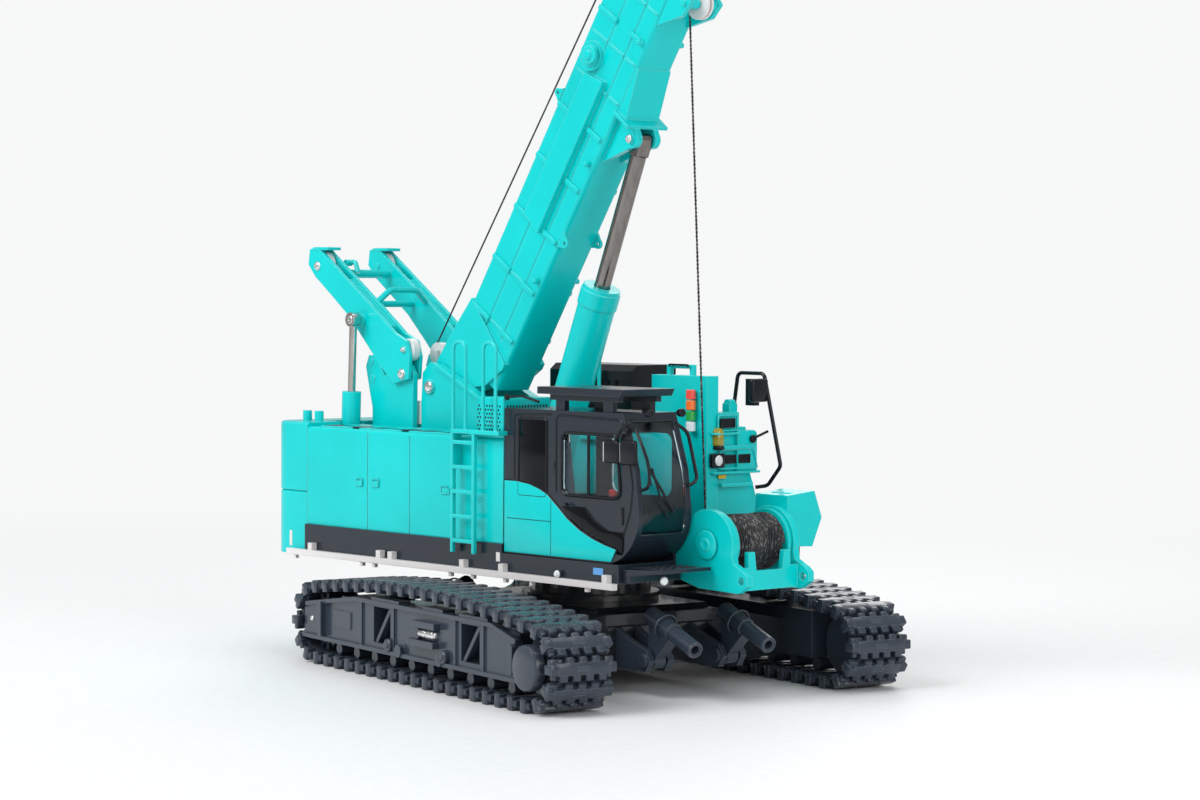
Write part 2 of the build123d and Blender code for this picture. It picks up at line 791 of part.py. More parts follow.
def hood():
    """Perforated air intake box on the left housing."""
    near, far = -house_side + 1, -house_inner
    with BuildPart() as box:
        front_profile(((near, house_top), (far, house_top), (far, 74.6),
                       (far - 2, 76.2), (near, 76.2)), hood_rear, hood_front)
        for slot in range(5):
            place = hood_rear + 3 + slot * 5.4
            block(far - 0.5, far + 1, place, place + 3.6, house_top + 7,
                  house_top + 13, Mode.SUBTRACT)
    return box.part


def ladder():
    """Ladder up the right housing and the two bowed grab rails over it."""
    x = deck_half_width + rail_width + ladder_stand_off
    inner = x - 1.0
    with BuildPart() as steps:
        for y in (ladder_rear, ladder_front - 0.8):
            block(inner, x, y, y + 0.8, ladder_low, house_top + 1.8)
        for rung in range(5):
            level = ladder_low + 2.4 + ladder_pitch * rung
            block(inner, x, ladder_rear, ladder_front, level, level + 0.9)
        block(house_side, x, ladder_rear, ladder_front + 9, house_top + 0.8,
              house_top + 1.8)
        block(house_side, inner, ladder_rear, ladder_rear + 0.8, house_top - 8,
              house_top + 1.8)
        for y in (ladder_rear + 0.4, ladder_rear + 11.6):
            tube(((x - 0.5, y, house_top + 1.4), (x - 0.5, y, rail_top),
                  (x - 0.5, y + 4.6, rail_top), (x - 0.5, y + 4.6, house_top + 1.4)),
                 0.45, 1.9)
    return steps.part


def handrail():
    """Bowed grab rail on the left, inside the intake box."""
    x = -house_inner + 1.4
    with BuildPart() as rail:
        block(-house_inner, x + 0.5, -17.5, -8.5, house_top - 2, house_top - 1)
        tube(((x, -16.4, house_top - 1.4), (x, -16.4, rail_top + 4.6),
              (x, -9.8, rail_top + 4.6), (x, -9.8, house_top - 1.4)), 0.5, 2.6)
    return rail.part


def mirror_rail():
    """Bowed rail on the tower's outer side, and the mirror that it carries."""
    x = -house_side - 1.3
    with BuildPart() as rail:
        tube(((x + 3, 19, tower_top + 0.5), (x, 19, tower_top + 4), (x, 20.5, 74.6),
              (x, 29.5, 74.6), (x, 35.4, 52.0), (x, 31.0, 47.0),
              (x + 2.4, 29.1, 46.6)), 0.5, 1.6)
        block(x - 0.5, x + 1.3, 24.4, 27.4, 66.6, 73.2)
    return rail.part


# ------------------------------------------------------- boom foot and winches
def foot_brackets():
    """Upright plates with a flanged edge, for the boom's foot and lift cylinder."""
    with BuildPart() as plates:
        for side in (-1, 1):
            near = side * bracket_inner
            far = side * (bracket_inner + bracket_plate)
            low, high = min(near, far), max(near, far)
            side_profile(((foot_y - 3.5, deck_high), (-22, deck_high), (-22, 60),
                          (-23.5, 64.2), (foot_y + 3.4, bracket_top),
                          (foot_y, bracket_top + 0.4), (foot_y - 3.0, bracket_top - 2.4),
                          (foot_y - 3.5, 66)), low, high)
            lip = side * (bracket_inner + bracket_plate + 1.0)
            side_profile(((foot_y + 3.4, bracket_top), (-23.5, 64.2), (-23.8, 63.3),
                          (foot_y + 3.1, bracket_top - 0.9)),
                         min(near, lip), max(near, lip))
            small_boss(2.0, foot_y, foot_z, far, far + side * 0.5)
            ear = side * (lift_eye_width / 2 + 0.6)
            tip = ear + side * 1.6
            side_profile(((lift_foot_y - 4, deck_high), (lift_foot_y + 4, deck_high),
                          (lift_foot_y + 2.0, lift_foot_z + 1.2),
                          (lift_foot_y + 0.8, lift_foot_z + 2.2),
                          (lift_foot_y - 0.8, lift_foot_z + 2.2),
                          (lift_foot_y - 2.0, lift_foot_z + 1.2)),
                         min(ear, tip), max(ear, tip))
        reach = bracket_inner + bracket_plate
        cross_pin(pin_radius, foot_y, foot_z, -reach, reach)
        reach = lift_eye_width / 2 + 2.2
        cross_pin(pin_radius, lift_foot_y, lift_foot_z, -reach, reach)
    return plates.part


def mast_stand():
    """Bracket plates behind the boom foot, and the ears of the mast cylinders."""
    half = mast_eye_width / 2 + running_gap
    with BuildPart() as plates:
        for side in (-1, 1):
            near, far = side * (mast_side - 0.75), side * (mast_side + 0.75)
            side_profile(((mast_y - 14, deck_high), (mast_y + 2.5, deck_high),
                          (mast_y + 2.9, mast_z), (mast_y + 1.4, mast_z + 2.4),
                          (mast_y - 1.6, mast_z + 2.2), (mast_y - 9, mast_z - 0.6),
                          (mast_y - 12.6, mast_z + 4.6), (mast_y - 15.6, mast_z + 4.6),
                          (mast_y - 16.8, mast_z + 1.6), (mast_y - 15.4, mast_z - 4),
                          (mast_y - 14, mast_z - 9)), min(near, far), max(near, far))
            outer = side * (mast_side + mast_arm_width / 2 + 0.4)
            inner = side * (mast_side - mast_arm_width / 2)
            cross_pin(pin_radius, mast_y, mast_z, min(inner, outer), max(inner, outer))
            for y, z in ((mast_y - 14.6, mast_z + 2.9), (mast_y - 13.8, mast_z - 1.6)):
                small_boss(1.0, y, z, far, far + side * running_gap)
        for side in (-mast_pin_x, mast_pin_x):
            for x0 in (side - half - 0.8, side + half):
                block(x0, x0 + 0.8, mast_foot_y - 1.6, mast_foot_y + 1.6,
                      weight_split - 0.1, mast_foot_z + 1.6)
            cross_pin(pin_radius, mast_foot_y, mast_foot_z,
                      side - half - 0.8, side + half + 0.8)
    return plates.part


def main_winch_frame():
    with BuildPart() as frame:
        for side in (-1, 1):
            block(side * 5.6, side * 6.6, -74, -60, deck_high, 52)
        cross_pin(0.8, main_drum_y, main_drum_z, -6.6, 6.6)
    return frame.part


def main_drum():
    """Main winch drum between the housings."""
    with BuildPart() as drum:
        cross_pin(4.5, main_drum_y, main_drum_z, -5.2, 5.2)
        for x0 in (-5.2, 4.4):
            small_boss(6.5, main_drum_y, main_drum_z, x0, x0 + 0.8)
        cross_pin(0.8 + pin_gap, main_drum_y, main_drum_z, -6, 6, Mode.SUBTRACT)
    return drum.part


def guide_sheave():
    """Rope guide behind the boom foot, on a cross plate between the brackets."""
    rear = foot_y - 3.5
    reach = bracket_inner + bracket_plate
    with BuildPart() as guide:
        block(-reach, reach, rear - 2, rear, 60, 66)
        for x0 in (-1.9, 1.1):
            side_profile(((rear - 2, 60), (rear, 60), (rear - 2, 79), (rear - 4, 79)),
                         x0, x0 + 0.8)
        cross_pin(3.0, rear - 3, 78, -1.1, 1.1)
    return guide.part


def winch_frame():
    """Side plates, towing lugs and notched front cross bar of the front winch."""
    nose = winch_pin_y + 1.9
    with BuildPart() as frame:
        for near, far in ((winch_side - winch_plate, winch_side),
                          (-winch_side + 1.4, -winch_side + 1.4 + winch_plate)):
            cross_pin(winch_radius, winch_y, winch_z, near, far)
            side_profile(((deck_front, winch_low + 2), (winch_y - 3, winch_low),
                          (winch_pin_y - 1, winch_low - 0.4), (nose, winch_pin_z - 1),
                          (nose, winch_pin_z + 1.2), (winch_pin_y + 0.4, winch_pin_z + 2.4),
                          (winch_y + winch_radius + 0.2, winch_z - 4),
                          (winch_y + winch_radius - 1.0, winch_z + 3),
                          (winch_y, winch_z + 2), (deck_front, winch_z + 4)), near, far)
            cross_pin(lug_bore, winch_pin_y, winch_pin_z, near - 1, far + 1,
                      Mode.SUBTRACT)
        near, far = -winch_side + 1.4, winch_side
        small_boss(2.0, winch_y, winch_z, far, far + 0.5)
        bar = winch_y + winch_radius
        front_profile(((near, winch_low), (far, winch_low), (far, winch_z - 5),
                       (far - 4.2, winch_z - 5), (far - 4.2, winch_z - 1.4),
                       (far - 6.2, winch_z - 1.4), (far - 6.8, winch_z - 5.8),
                       (near + 6.8, winch_z - 5.8), (near + 6.2, winch_z - 1.4),
                       (near + 4.2, winch_z - 1.4), (near + 4.2, winch_z - 5),
                       (near, winch_z - 5)), bar - 0.3, bar + 1.1)
        block(near, far, deck_front, deck_front + 1.4, winch_low + 2, deck_high)
        cross_pin(pin_radius, winch_y, winch_z, near, far)
    return frame.part


def winch_motor():
    """Six-sided drive housing on the winch's left side."""
    inner = -winch_side + 1.4
    with BuildPart() as motor:
        front_profile(((inner, winch_z - 1.4), (inner - 8.6, winch_z - 1.8),
                       (inner - 11.8, winch_z + 5.0), (inner - 9.2, winch_z + 11.4),
                       (inner - 0.2, winch_z + 10.6), (inner, winch_z + 6)),
                      winch_y - 6.4, winch_y + 4.2)
        small_boss(1.0, winch_y, winch_z - 3.6, inner - 4.4, inner)
    return motor.part


def front_drum():
    """Winch drum between its flanges, wound full of rope."""
    low, high = -winch_side + 1.4 + winch_plate + running_gap, winch_side - winch_plate
    high -= running_gap
    with BuildPart() as drum:
        cross_pin(drum_radius, winch_y, winch_z, low, high)
        for x0 in (low, high - 1):
            cross_pin(flange_radius, winch_y, winch_z, x0, x0 + 1)
        cross_pin(pin_radius + pin_gap, winch_y, winch_z, low, high, Mode.SUBTRACT)
    return drum.part


# ---------------------------------------------------------------------- boom
boom_low = -boom_drop - boom_depth / 2
boom_high = -boom_drop + boom_depth / 2


def boom_tube(section, start, end):
    """A hollow telescoping section, numbered from the base section, 0."""
    shrink = section * (boom_wall + section_gap)
    wide = boom_width - 2 * shrink
    deep = boom_depth - 2 * shrink
    with BuildPart() as tube:
        with BuildSketch(Plane.XZ.offset(-start)):
            with Locations((0, -boom_drop)):
                RectangleRounded(wide, deep, 1.2)
                Rectangle(wide - 2 * boom_wall, deep - 2 * boom_wall,
                          mode=Mode.SUBTRACT)
        extrude(amount=start - end)
    return tube.part


def boom_ear(along, across, radius, side, thick, root):
    """A small lifting ear on the boom's edge, its foot at root across."""
    near = side * (boom_width / 2 - thick)
    far = side * boom_width / 2
    low, high = min(near, far), max(near, far)
    foot = radius * 1.8
    cross_pin(radius, along, across, low, high)
    side_profile(((along - foot, root), (along - radius, across),
                  (along + radius, across), (along + foot, root)), low, high)
    cross_pin(radius * 0.42, along, across, low - 1, high + 1, Mode.SUBTRACT)


def boom_base():
    """Base section with its foot, ribs, bosses and the lift cylinder's clevis."""
    half = boom_width / 2
    pin_across = boom_low - lift_pin_below
    visor = lift_pin_along + 3.2
    with BuildPart() as base:
        add(boom_tube(0, boom_start, boom_end))
        block(-half, half, boom_start, boom_start + 1, boom_low + 3, boom_high)
        for side in (-1, 1):
            outer = side * (bracket_inner - running_gap)
            inner = side * (half - 0.9)
            side_profile(((-2.9, 0.5), (-2.4, -1.6), (0, -2.8), (11.5, -15.9),
                          (18.4, boom_low), (20, boom_low), (24, -8.0),
                          (27, boom_high - 0.3), (16, 2.4), (4, 3.6), (-1.5, 2.6)),
                         min(inner, outer), max(inner, outer))
            for place in rib_places:
                block(side * (half - 0.2), side * (half + rib_proud),
                      place - 0.3, place + 0.3, rib_low, rib_high)
            for lane in groove_lanes:
                block(side * (half - 0.15), side * (half + 0.5), 24, boom_end - 4,
                      lane - 0.4, lane + 0.4, Mode.SUBTRACT)
            face = side * (half - 0.2)
            for radius, proud in ((boss_radius, 0.8), (boss_radius * 0.72, 1.3),
                                  (boss_radius * 0.4, 2.0)):
                tip = side * (half + proud)
                cross_pin(radius, boss_along, boss_across, min(face, tip),
                          max(face, tip))
            boom_ear(86.7, boom_high + 1.0, 1.1, side, 1.0, boom_high - 0.4)
            boom_ear(57.0, boom_low - 1.3, 1.2, side, 0.7, boom_low + 0.4)
            near = side * (lift_eye_width / 2 + running_gap)
            far = near + side * clevis_plate
            low, high = min(near, far), max(near, far)
            side_profile(((79, boom_low + 0.4), (lift_pin_along - 2.2, pin_across - 0.6),
                          (lift_pin_along + 1.6, pin_across - 1.6),
                          (visor, pin_across + 1), (visor, boom_low + 0.4)), low, high)
            cross_pin(2.2, lift_pin_along, pin_across, low, high)
            knob = far + side * 0.5
            small_boss(1.0, lift_pin_along, pin_across, far, knob)
        side_profile(((visor, boom_low + 0.3), (visor + 0.9, boom_low + 0.3),
                      (visor + 0.3, pin_across + 0.2), (visor - 0.5, pin_across + 0.2)),
                     -half - 0.8, half + 0.8)
        side_profile(((visor + 0.6, boom_low + 0.3), (visor + 0.3, boom_low - 3.2),
                      (visor + 12.7, boom_low - 0.25), (visor + 12.7, boom_low + 0.3)),
                     -half + 0.5, half - 0.5)
        side_profile(((hose_start, hose_low), (hose_end, hose_low),
                      (hose_end - 1.4, hose_high), (hose_start + 1.4, hose_high)),
                     half - 0.2, half + hose_proud)
        cross_pin(pin_radius + pin_gap, 0, 0, -boom_width, boom_width, Mode.SUBTRACT)
    return base.part


def boom_deflector():
    """The two arms under the base section that hold the rope deflector sheave."""
    across = boom_low - deflector_below
    with BuildPart() as arms:
        for side in (-1, 1):
            near = side * (deflector_side - 1.2)
            far = side * deflector_side
            low, high = min(near, far), max(near, far)
            side_profile(((deflector_along - 9, boom_low), (deflector_along - 3, across - 1),
                          (deflector_along + 1.2, across - 1.8),
                          (deflector_along + 2.2, across + 0.6),
                          (deflector_along + 4, boom_low)), low, high)
        cross_pin(pin_radius, deflector_along, across, -deflector_side - 0.6,
                  deflector_side + 0.6)
        for x0 in (-deflector_side + 1.2, 1.2):
            small_boss(1.3, deflector_along, across, x0, x0 + deflector_side - 2.4)
    return arms.part


def deflector_sheave():
    """A grooved rope sheave on the deflector's pin."""
    across = boom_low - deflector_below
    with BuildPart() as sheave:
        for x0, radius in ((-0.9, deflector_radius), (-0.3, deflector_radius - 0.7),
                           (0.3, deflector_radius)):
            cross_pin(radius, deflector_along, across, x0, x0 + 0.6)
        cross_pin(pin_radius + pin_gap, deflector_along, across, -2, 2, Mode.SUBTRACT)
    return sheave.part


def boom_section(number):
    """A telescoping section at rest inside the one before it."""
    end = boom_end + number * section_step
    start = boom_start + 9 + number * 2
    with BuildPart() as section:
        add(boom_tube(number, start, end))
    return section.part


head_wide = boom_width - 2 * section_count * (boom_wall + section_gap)
head_start = boom_end + section_count * section_step
head_pin_along = head_start + head_length - 3
head_pin_across = boom_low - head_pin_below


def boom_head():
    """Head with two cheek plates, on the last section."""
    with BuildPart() as head:
        block(-head_wide / 2, head_wide / 2, head_start, head_start + 2,
              boom_low + 2, boom_high - 2)
        for side in (-1, 1):
            near = side * (head_wide / 2 - 0.9)
            far = side * head_wide / 2
            side_profile(((head_start + 2, boom_low + 2),
                          (head_pin_along - 3, head_pin_across - 3),
                          (head_pin_along + 3, head_pin_across - 3),
                          (head_start + head_length, boom_high - 4),
                          (head_start + 2, boom_high - 2)),
                         min(near, far), max(near, far))
    return head.part


def head_sheaves():
    half = head_wide / 2 - 0.9 - running_gap
    with BuildPart() as sheaves:
        for across in (head_pin_across, boom_high - 6):
            cross_pin(head_sheave_radius, head_pin_along, across, -half, half)
    return sheaves.part


def lift_barrel():
    """Lift cylinder barrel, drawn along +Y from its foot pin."""
    with BuildPart() as barrel:
        with BuildSketch(Plane.XZ.offset(-3.4)):
            Circle(lift_barrel_radius)
        extrude(amount=3.4 - lift_barrel_length)
        with BuildSketch(Plane.XZ.offset(5.0 - lift_barrel_length)):
            Circle(lift_collar)
        extrude(amount=-4.0)
        side_profile(((-1.9, -2.4), (-2.8, 0), (-1.9, 2.4), (4, 3), (4, -3)), -2.4, 2.4)
        with BuildSketch(Plane.XZ.offset(-6.0)):
            Circle(lift_rod_radius + 0.1)
        extrude(amount=6.0 - lift_barrel_length, mode=Mode.SUBTRACT)
        cross_pin(pin_radius + pin_gap, 0, 0, -3, 3, Mode.SUBTRACT)
    return barrel.part


pin_below = boom_low - lift_pin_below
turn = radians(boom_angle)
lift_pin_y = foot_y + lift_pin_along * cos(turn) - pin_below * sin(turn)
lift_pin_z = foot_z + lift_pin_along * sin(turn) + pin_below * cos(turn)
lift_reach = hypot(lift_pin_y - lift_foot_y, lift_pin_z - lift_foot_z)
lift_angle = degrees(atan2(lift_pin_z - lift_foot_z, lift_pin_y - lift_foot_y))
lift_rod_length = lift_reach_max - lift_barrel_length + 6.0


def lift_rod():
    """Lift cylinder rod, drawn along +Y, its eye at the clevis pin."""
    with BuildPart() as rod:
        with BuildSketch(Plane.XZ.offset(-lift_reach + lift_rod_length)):
            Circle(lift_rod_radius)
        extrude(amount=lift_eye_neck - lift_rod_length)
        half = lift_eye_width / 2
        block(-half, half, lift_reach - lift_eye_neck - 0.1, lift_reach,
              -lift_eye_radius, lift_eye_radius)
        cross_pin(lift_eye_radius, lift_reach, 0, -half, half)
    return rod.part


# ---------------------------------------------------------------------- mast
mast_outline = (            # along (backwards is negative) and up, from the pivot
    (2.6, -1.2), (3.2, 4.6), (1.8, 8.6), (-3.0, 10.6), (-12.0, 16.9), (-25.0, 25.6),
    (-36.2, 33.1), (-39.4, 32.5), (-40.0, 28.4), (-37.0, 25.2), (-29.0, 19.6),
    (-22.6, 15.0), (-16.0, 8.8), (-9.0, 2.0), (-3.4, -2.6),
)
mast_tip = (-35.9, 28.0)
mast_low_sheave = (0.8, 6.3)
mast_eye = (mast_eye_y - mast_y, mast_eye_z - mast_z)


def mast():
    """Both arms of the assembly mast and the tubes between them, as it rests."""
    with BuildPart() as arms:
        for side in (-1, 1):
            middle = side * mast_side
            for edge in (-1, 1):
                outer = middle + edge * mast_arm_width / 2
                inner = outer - edge * mast_plate
                side_profile(mast_outline, min(inner, outer), max(inner, outer))
            low = middle - mast_arm_width / 2 + 0.3
            high = middle + mast_arm_width / 2 - 0.3
            side_profile(((-7.0, 12.4), (-12.0, 15.9), (-25.0, 24.6), (-25.0, 23.6),
                          (-12.0, 14.9), (-7.0, 11.4)), low, high)
            side_profile(((-16.6, 9.4), (-22.9, 15.3), (-29.0, 19.9), (-29.0, 20.9),
                          (-22.6, 16.2), (-15.8, 10.0)), low, high)
            for along, up in (mast_tip, mast_low_sheave):
                for edge in (-1, 1):
                    face = middle + edge * mast_arm_width / 2
                    small_boss(0.9, along, up, face, face + edge * 0.4)
            shoulder = middle + side * mast_arm_width / 2
            pad = side * (mast_pin_x - mast_eye_width / 2 - running_gap)
            small_boss(1.5, mast_eye[0], mast_eye[1], shoulder, pad)
        cross_pin(pin_radius + pin_gap, 0, 0, -mast_side - 4, mast_side + 4,
                  Mode.SUBTRACT)
        reach = mast_side - mast_arm_width / 2 + 0.5
        for along, up, radius in ((-31.0, 26.0, 1.2), (-20.5, 18.0, 0.9)):
            small_boss(radius, along, up, -reach, reach)
    return arms.part


def mast_sheaves():
    """White sheaves between the plates of each arm, at its tip and its foot."""
    half = mast_arm_width / 2 - mast_plate - running_gap
    with BuildPart() as sheaves:
        for side in (-1, 1):
            middle = side * mast_side
            for (along, up), radius in ((mast_tip, 3.9), (mast_low_sheave, 2.9)):
                cross_pin(radius, along, up, middle - half, middle + half)
    return sheaves.part


mast_reach = hypot(mast_eye_y - mast_foot_y, mast_eye_z - mast_foot_z)
mast_lean = degrees(atan2(mast_eye_z - mast_foot_z, mast_eye_y - mast_foot_y))


def mast_barrels():
    with BuildPart() as barrels:
        for side in (-mast_pin_x, mast_pin_x):
            near, far = side - mast_eye_width / 2, side + mast_eye_width / 2
            with BuildSketch(Plane.XZ.offset(-2.6)):
                with Locations((side, 0)):
                    Circle(mast_barrel_radius)
            extrude(amount=2.6 - mast_barrel_length)
            side_profile(((-1.5, -1.2), (-1.9, 0), (-1.5, 1.2), (3, 1.9), (3, -1.9)),
                         near, far)
            with BuildSketch(Plane.XZ.offset(-4.0)):
                with Locations((side, 0)):
                    Circle(mast_rod_radius + running_gap / 2)
            extrude(amount=4.0 - mast_barrel_length, mode=Mode.SUBTRACT)
            cross_pin(pin_radius + pin_gap, 0, 0, near - 1, far + 1, Mode.SUBTRACT)
    return barrels.part


def mast_rods():
    length = mast_reach - 14.0
    with BuildPart() as rods:
        for side in (-mast_pin_x, mast_pin_x):
            with BuildSketch(Plane.XZ.offset(-mast_reach + length)):
                with Locations((side, 0)):
                    Circle(mast_rod_radius)
            extrude(amount=-length)
            cross_pin(1.9, mast_reach, 0, side - 1.2, side + 1.2)
    return rods.part


# ----------------------------------------------------------------- hook block
def hook_block():
    """Hook block hanging from the head, drawn from the head sheave pin."""
    with BuildPart() as body:
        for x0 in (-1.9, 1.1):
            block(x0, x0 + 0.8, -4, 4, -hook_drop - 5, -hook_drop + 5)
        cross_pin(3.6, 0, -hook_drop, -0.9, 0.9)
        block(-1.9, 1.9, -1.2, 1.2, -hook_drop - 7, -hook_drop - 4.9)
        bowl = -hook_drop - 12.6
        with BuildSketch(Plane.YZ.offset(-0.8)) as hook:
            with Locations((0, bowl)):
                Circle(hook_radius)
                Circle(hook_radius - 1.5, mode=Mode.SUBTRACT)
                Rectangle(hook_radius + 1, hook_radius + 1, align=(Align.MIN, Align.MIN),
                          mode=Mode.SUBTRACT)
            with BuildLine():
                Polyline((-0.9, bowl + 1.9), (-0.9, -hook_drop - 6.5),
                         (0.9, -hook_drop - 6.5), (0.9, bowl + 2.6), (0, bowl + 1.9),
                         close=True)
            make_face()
        extrude(hook.sketch, amount=1.6)
        fall = head_sheave_radius + rope_radius + pin_gap
        for y in (-fall, fall):
            upright(rope_radius, 0, y, -hook_drop, 0)
    return body.part


# -------------------------------------------------------------------- output
for side, name in ((1, "right"), (-1, "left")):
    pieces = {
        "track": track(track_inner),
        "track_frame": track_frame(),
        "track_wheels": track_wheels(),
    }
    for kind, part in pieces.items():
        placed = part if side > 0 else mirrored(part)
        save(under_deck(placed), f"{kind}_{name}")

save(under_deck(car_body()), "car_body")
save(under_deck(slew_ring()), "slew_ring")
save(under_deck(jack_brackets()), "jack_brackets")
for end, along in ((1, "front"), (-1, "rear")):
    for side, name in ((1, "right"), (-1, "left")):
        lying = Location((side * jack_side, jack_pin_y, jack_pin_z),
                         (jack_angle, 0, 0)) * jack()
        placed = lying if end > 0 else Location((0, 0, 0), (0, 0, 180)) * lying
        label = name if end > 0 else {"right": "left", "left": "right"}[name]
        save(under_deck(placed), f"jack_{along}_{label}")

save(deck(), "deck")
save(catwalk(1), "catwalk_right")
save(catwalk(-1), "catwalk_left")
save(house(house_front), "house_right")
save(mirrored(house(left_house_front)), "house_left")
save(doors(), "doors_right")
save(mirrored(doors()), "doors_left")
save(counterweight(weight_low, weight_split - 0.1), "counterweight_lower")
save(counterweight(weight_split, weight_top), "counterweight_upper")
save(cab_shell(), "cab_shell")
save(cab_side_panel(), "cab_side_panel")
save(cab_glass(), "cab_glass")
save(cab_windscreen(), "cab_windscreen")
save(cab_seat(), "cab_seat")
save(roof_guard(), "cab_roof_guard")
save(cab_step(), "cab_step")
save(tower(), "console_tower")
save(tower_lamps(), "tower_lamps")
save(hood(), "intake_hood")
save(handrail(), "handrail")
save(ladder(), "ladder")
save(mirror_rail(), "mirror_rail")
save(foot_brackets(), "foot_brackets")
save(mast_stand(), "mast_stand")
save(main_winch_frame(), "main_winch_frame")
save(main_drum(), "main_drum")
save(guide_sheave(), "guide_sheave")
save(winch_frame(), "winch_frame")
save(winch_motor(), "winch_motor")
save(front_drum(), "front_drum")

save(raised(boom_base(), foot_y, foot_z, boom_angle), "boom_base")
for number in range(1, section_count + 1):
    save(raised(boom_section(number), foot_y, foot_z, boom_angle),
         f"boom_section_{number + 1}")
save(raised(boom_deflector(), foot_y, foot_z, boom_angle), "boom_deflector")
save(raised(deflector_sheave(), foot_y, foot_z, boom_angle), "deflector_sheave")
save(raised(boom_head(), foot_y, foot_z, boom_angle), "boom_head")
save(raised(head_sheaves(), foot_y, foot_z, boom_angle), "head_sheaves")
save(raised(lift_barrel(), lift_foot_y, lift_foot_z, lift_angle), "lift_barrel")
save(raised(lift_rod(), lift_foot_y, lift_foot_z, lift_angle), "lift_rod")

save(Location((0, mast_y, mast_z)) * mast(), "mast")
save(Location((0, mast_y, mast_z)) * mast_sheaves(), "mast_sheaves")
save(raised(mast_barrels(), mast_foot_y, mast_foot_z, mast_lean), "mast_barrels")
save(raised(mast_rods(), mast_foot_y, mast_foot_z, mast_lean), "mast_rods")

head_pin_y = foot_y + head_pin_along * cos(turn) - head_pin_across * sin(turn)
head_pin_z = foot_z + head_pin_along * sin(turn) + head_pin_across * cos(turn)
save(Location((0, head_pin_y, head_pin_z)) * hook_block(), "hook_block")
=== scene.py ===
import json
import math

import bpy
from mathutils import Matrix, Vector


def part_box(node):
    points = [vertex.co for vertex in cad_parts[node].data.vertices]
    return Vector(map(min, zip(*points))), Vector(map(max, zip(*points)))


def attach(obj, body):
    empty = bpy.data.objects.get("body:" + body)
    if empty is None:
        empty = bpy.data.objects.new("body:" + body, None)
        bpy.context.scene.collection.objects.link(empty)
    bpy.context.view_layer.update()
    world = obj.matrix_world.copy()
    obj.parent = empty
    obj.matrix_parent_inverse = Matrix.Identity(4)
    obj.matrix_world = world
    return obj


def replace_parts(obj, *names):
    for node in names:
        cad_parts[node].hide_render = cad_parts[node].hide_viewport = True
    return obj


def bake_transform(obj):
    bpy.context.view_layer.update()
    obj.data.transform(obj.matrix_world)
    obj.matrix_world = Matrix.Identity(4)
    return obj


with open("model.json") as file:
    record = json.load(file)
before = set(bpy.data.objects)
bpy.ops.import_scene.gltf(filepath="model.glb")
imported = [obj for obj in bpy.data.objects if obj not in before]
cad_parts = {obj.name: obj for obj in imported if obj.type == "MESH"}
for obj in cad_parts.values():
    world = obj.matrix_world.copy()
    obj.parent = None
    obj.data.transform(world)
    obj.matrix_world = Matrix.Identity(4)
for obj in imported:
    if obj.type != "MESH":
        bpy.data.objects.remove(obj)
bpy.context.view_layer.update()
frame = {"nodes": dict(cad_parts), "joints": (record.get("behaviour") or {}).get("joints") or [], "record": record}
mm = 0.001
print("frame loaded:", len(frame["nodes"]), "nodes")


# shared shader groups

def newGroup(name, inputs, outputs):
    group = bpy.data.node_groups.new(name, "ShaderNodeTree")
    for label, kind, value in inputs:
        socket = group.interface.new_socket(label, in_out="INPUT", socket_type=kind)
        socket.default_value = value
    for label, kind in outputs:
        group.interface.new_socket(label, in_out="OUTPUT", socket_type=kind)
    return group, group.nodes.new("NodeGroupInput"), group.nodes.new("NodeGroupOutput")


def link(socket, value):
    # an input takes another node's output, or a plain value
    if isinstance(value, bpy.types.NodeSocket):
        socket.id_data.links.new(value, socket)
    else:
        socket.default_value = value


def feed(node, **named):
    for key, value in named.items():
        link(node.inputs[key.replace("_", " ")], value)


def addNode(tree, kind, settings=None, *inOrder, **named):
    node = tree.nodes.new(kind)
    for key, value in (settings or {}).items():
        setattr(node, key, value)
    for socket, value in zip(node.inputs, inOrder):
        link(socket, value)
    feed(node, **named)
    return node


def mixColour(tree, blend, factor, first, second):
    node = addNode(tree, "ShaderNodeMix", {"data_type": "RGBA", "blend_type": blend})
    for index, value in ((0, factor), (6, first), (7, second)):
        link(node.inputs[index], value)
    return node.outputs[2]


def mathNode(tree, operation, first, second):
    return addNode(tree, "ShaderNodeMath", {"operation": operation}, first, second).outputs[0]


def objectPlace(tree):
    return addNode(tree, "ShaderNodeTexCoord").outputs["Object"]


def noise(tree, place, scale, detail):
    return addNode(tree, "ShaderNodeTexNoise", Vector=place, Scale=scale, Detail=detail).outputs[0]


def spread(tree, value, low, high, start=0.3, end=0.7, **settings):
    # the values from start to end, spread over low to high
    return addNode(tree, "ShaderNodeMapRange", settings, Value=value, From_Min=start, From_Max=end,
                   To_Min=low, To_Max=high).outputs[0]


def relief(tree, shader, strength, distance, height, **normal):
    bump = addNode(tree, "ShaderNodeBump", Strength=strength, Distance=distance, Height=height, **normal)
    feed(shader, Normal=bump.outputs[0])


def edgeGroup():
    # the rounded corner of a casting, and a mask along it where a painted highlight is laid
    group, entry, leave = newGroup(
        "castEdge", [("Width", "NodeSocketFloat", 0.3 * mm)],
        [("Mask", "NodeSocketFloat"), ("Normal", "NodeSocketVector")])
    rounded = addNode(group, "ShaderNodeBevel", {"samples": 6}, Radius=entry.outputs["Width"])
    flat = addNode(group, "ShaderNodeNewGeometry")
    facing = addNode(group, "ShaderNodeVectorMath", {"operation": "DOT_PRODUCT"},
                     rounded.outputs[0], flat.outputs["Normal"])
    feed(leave, Mask=spread(group, facing.outputs["Value"], 0.0, 1.0, 0.995, 0.80), Normal=rounded.outputs[0])
    return group


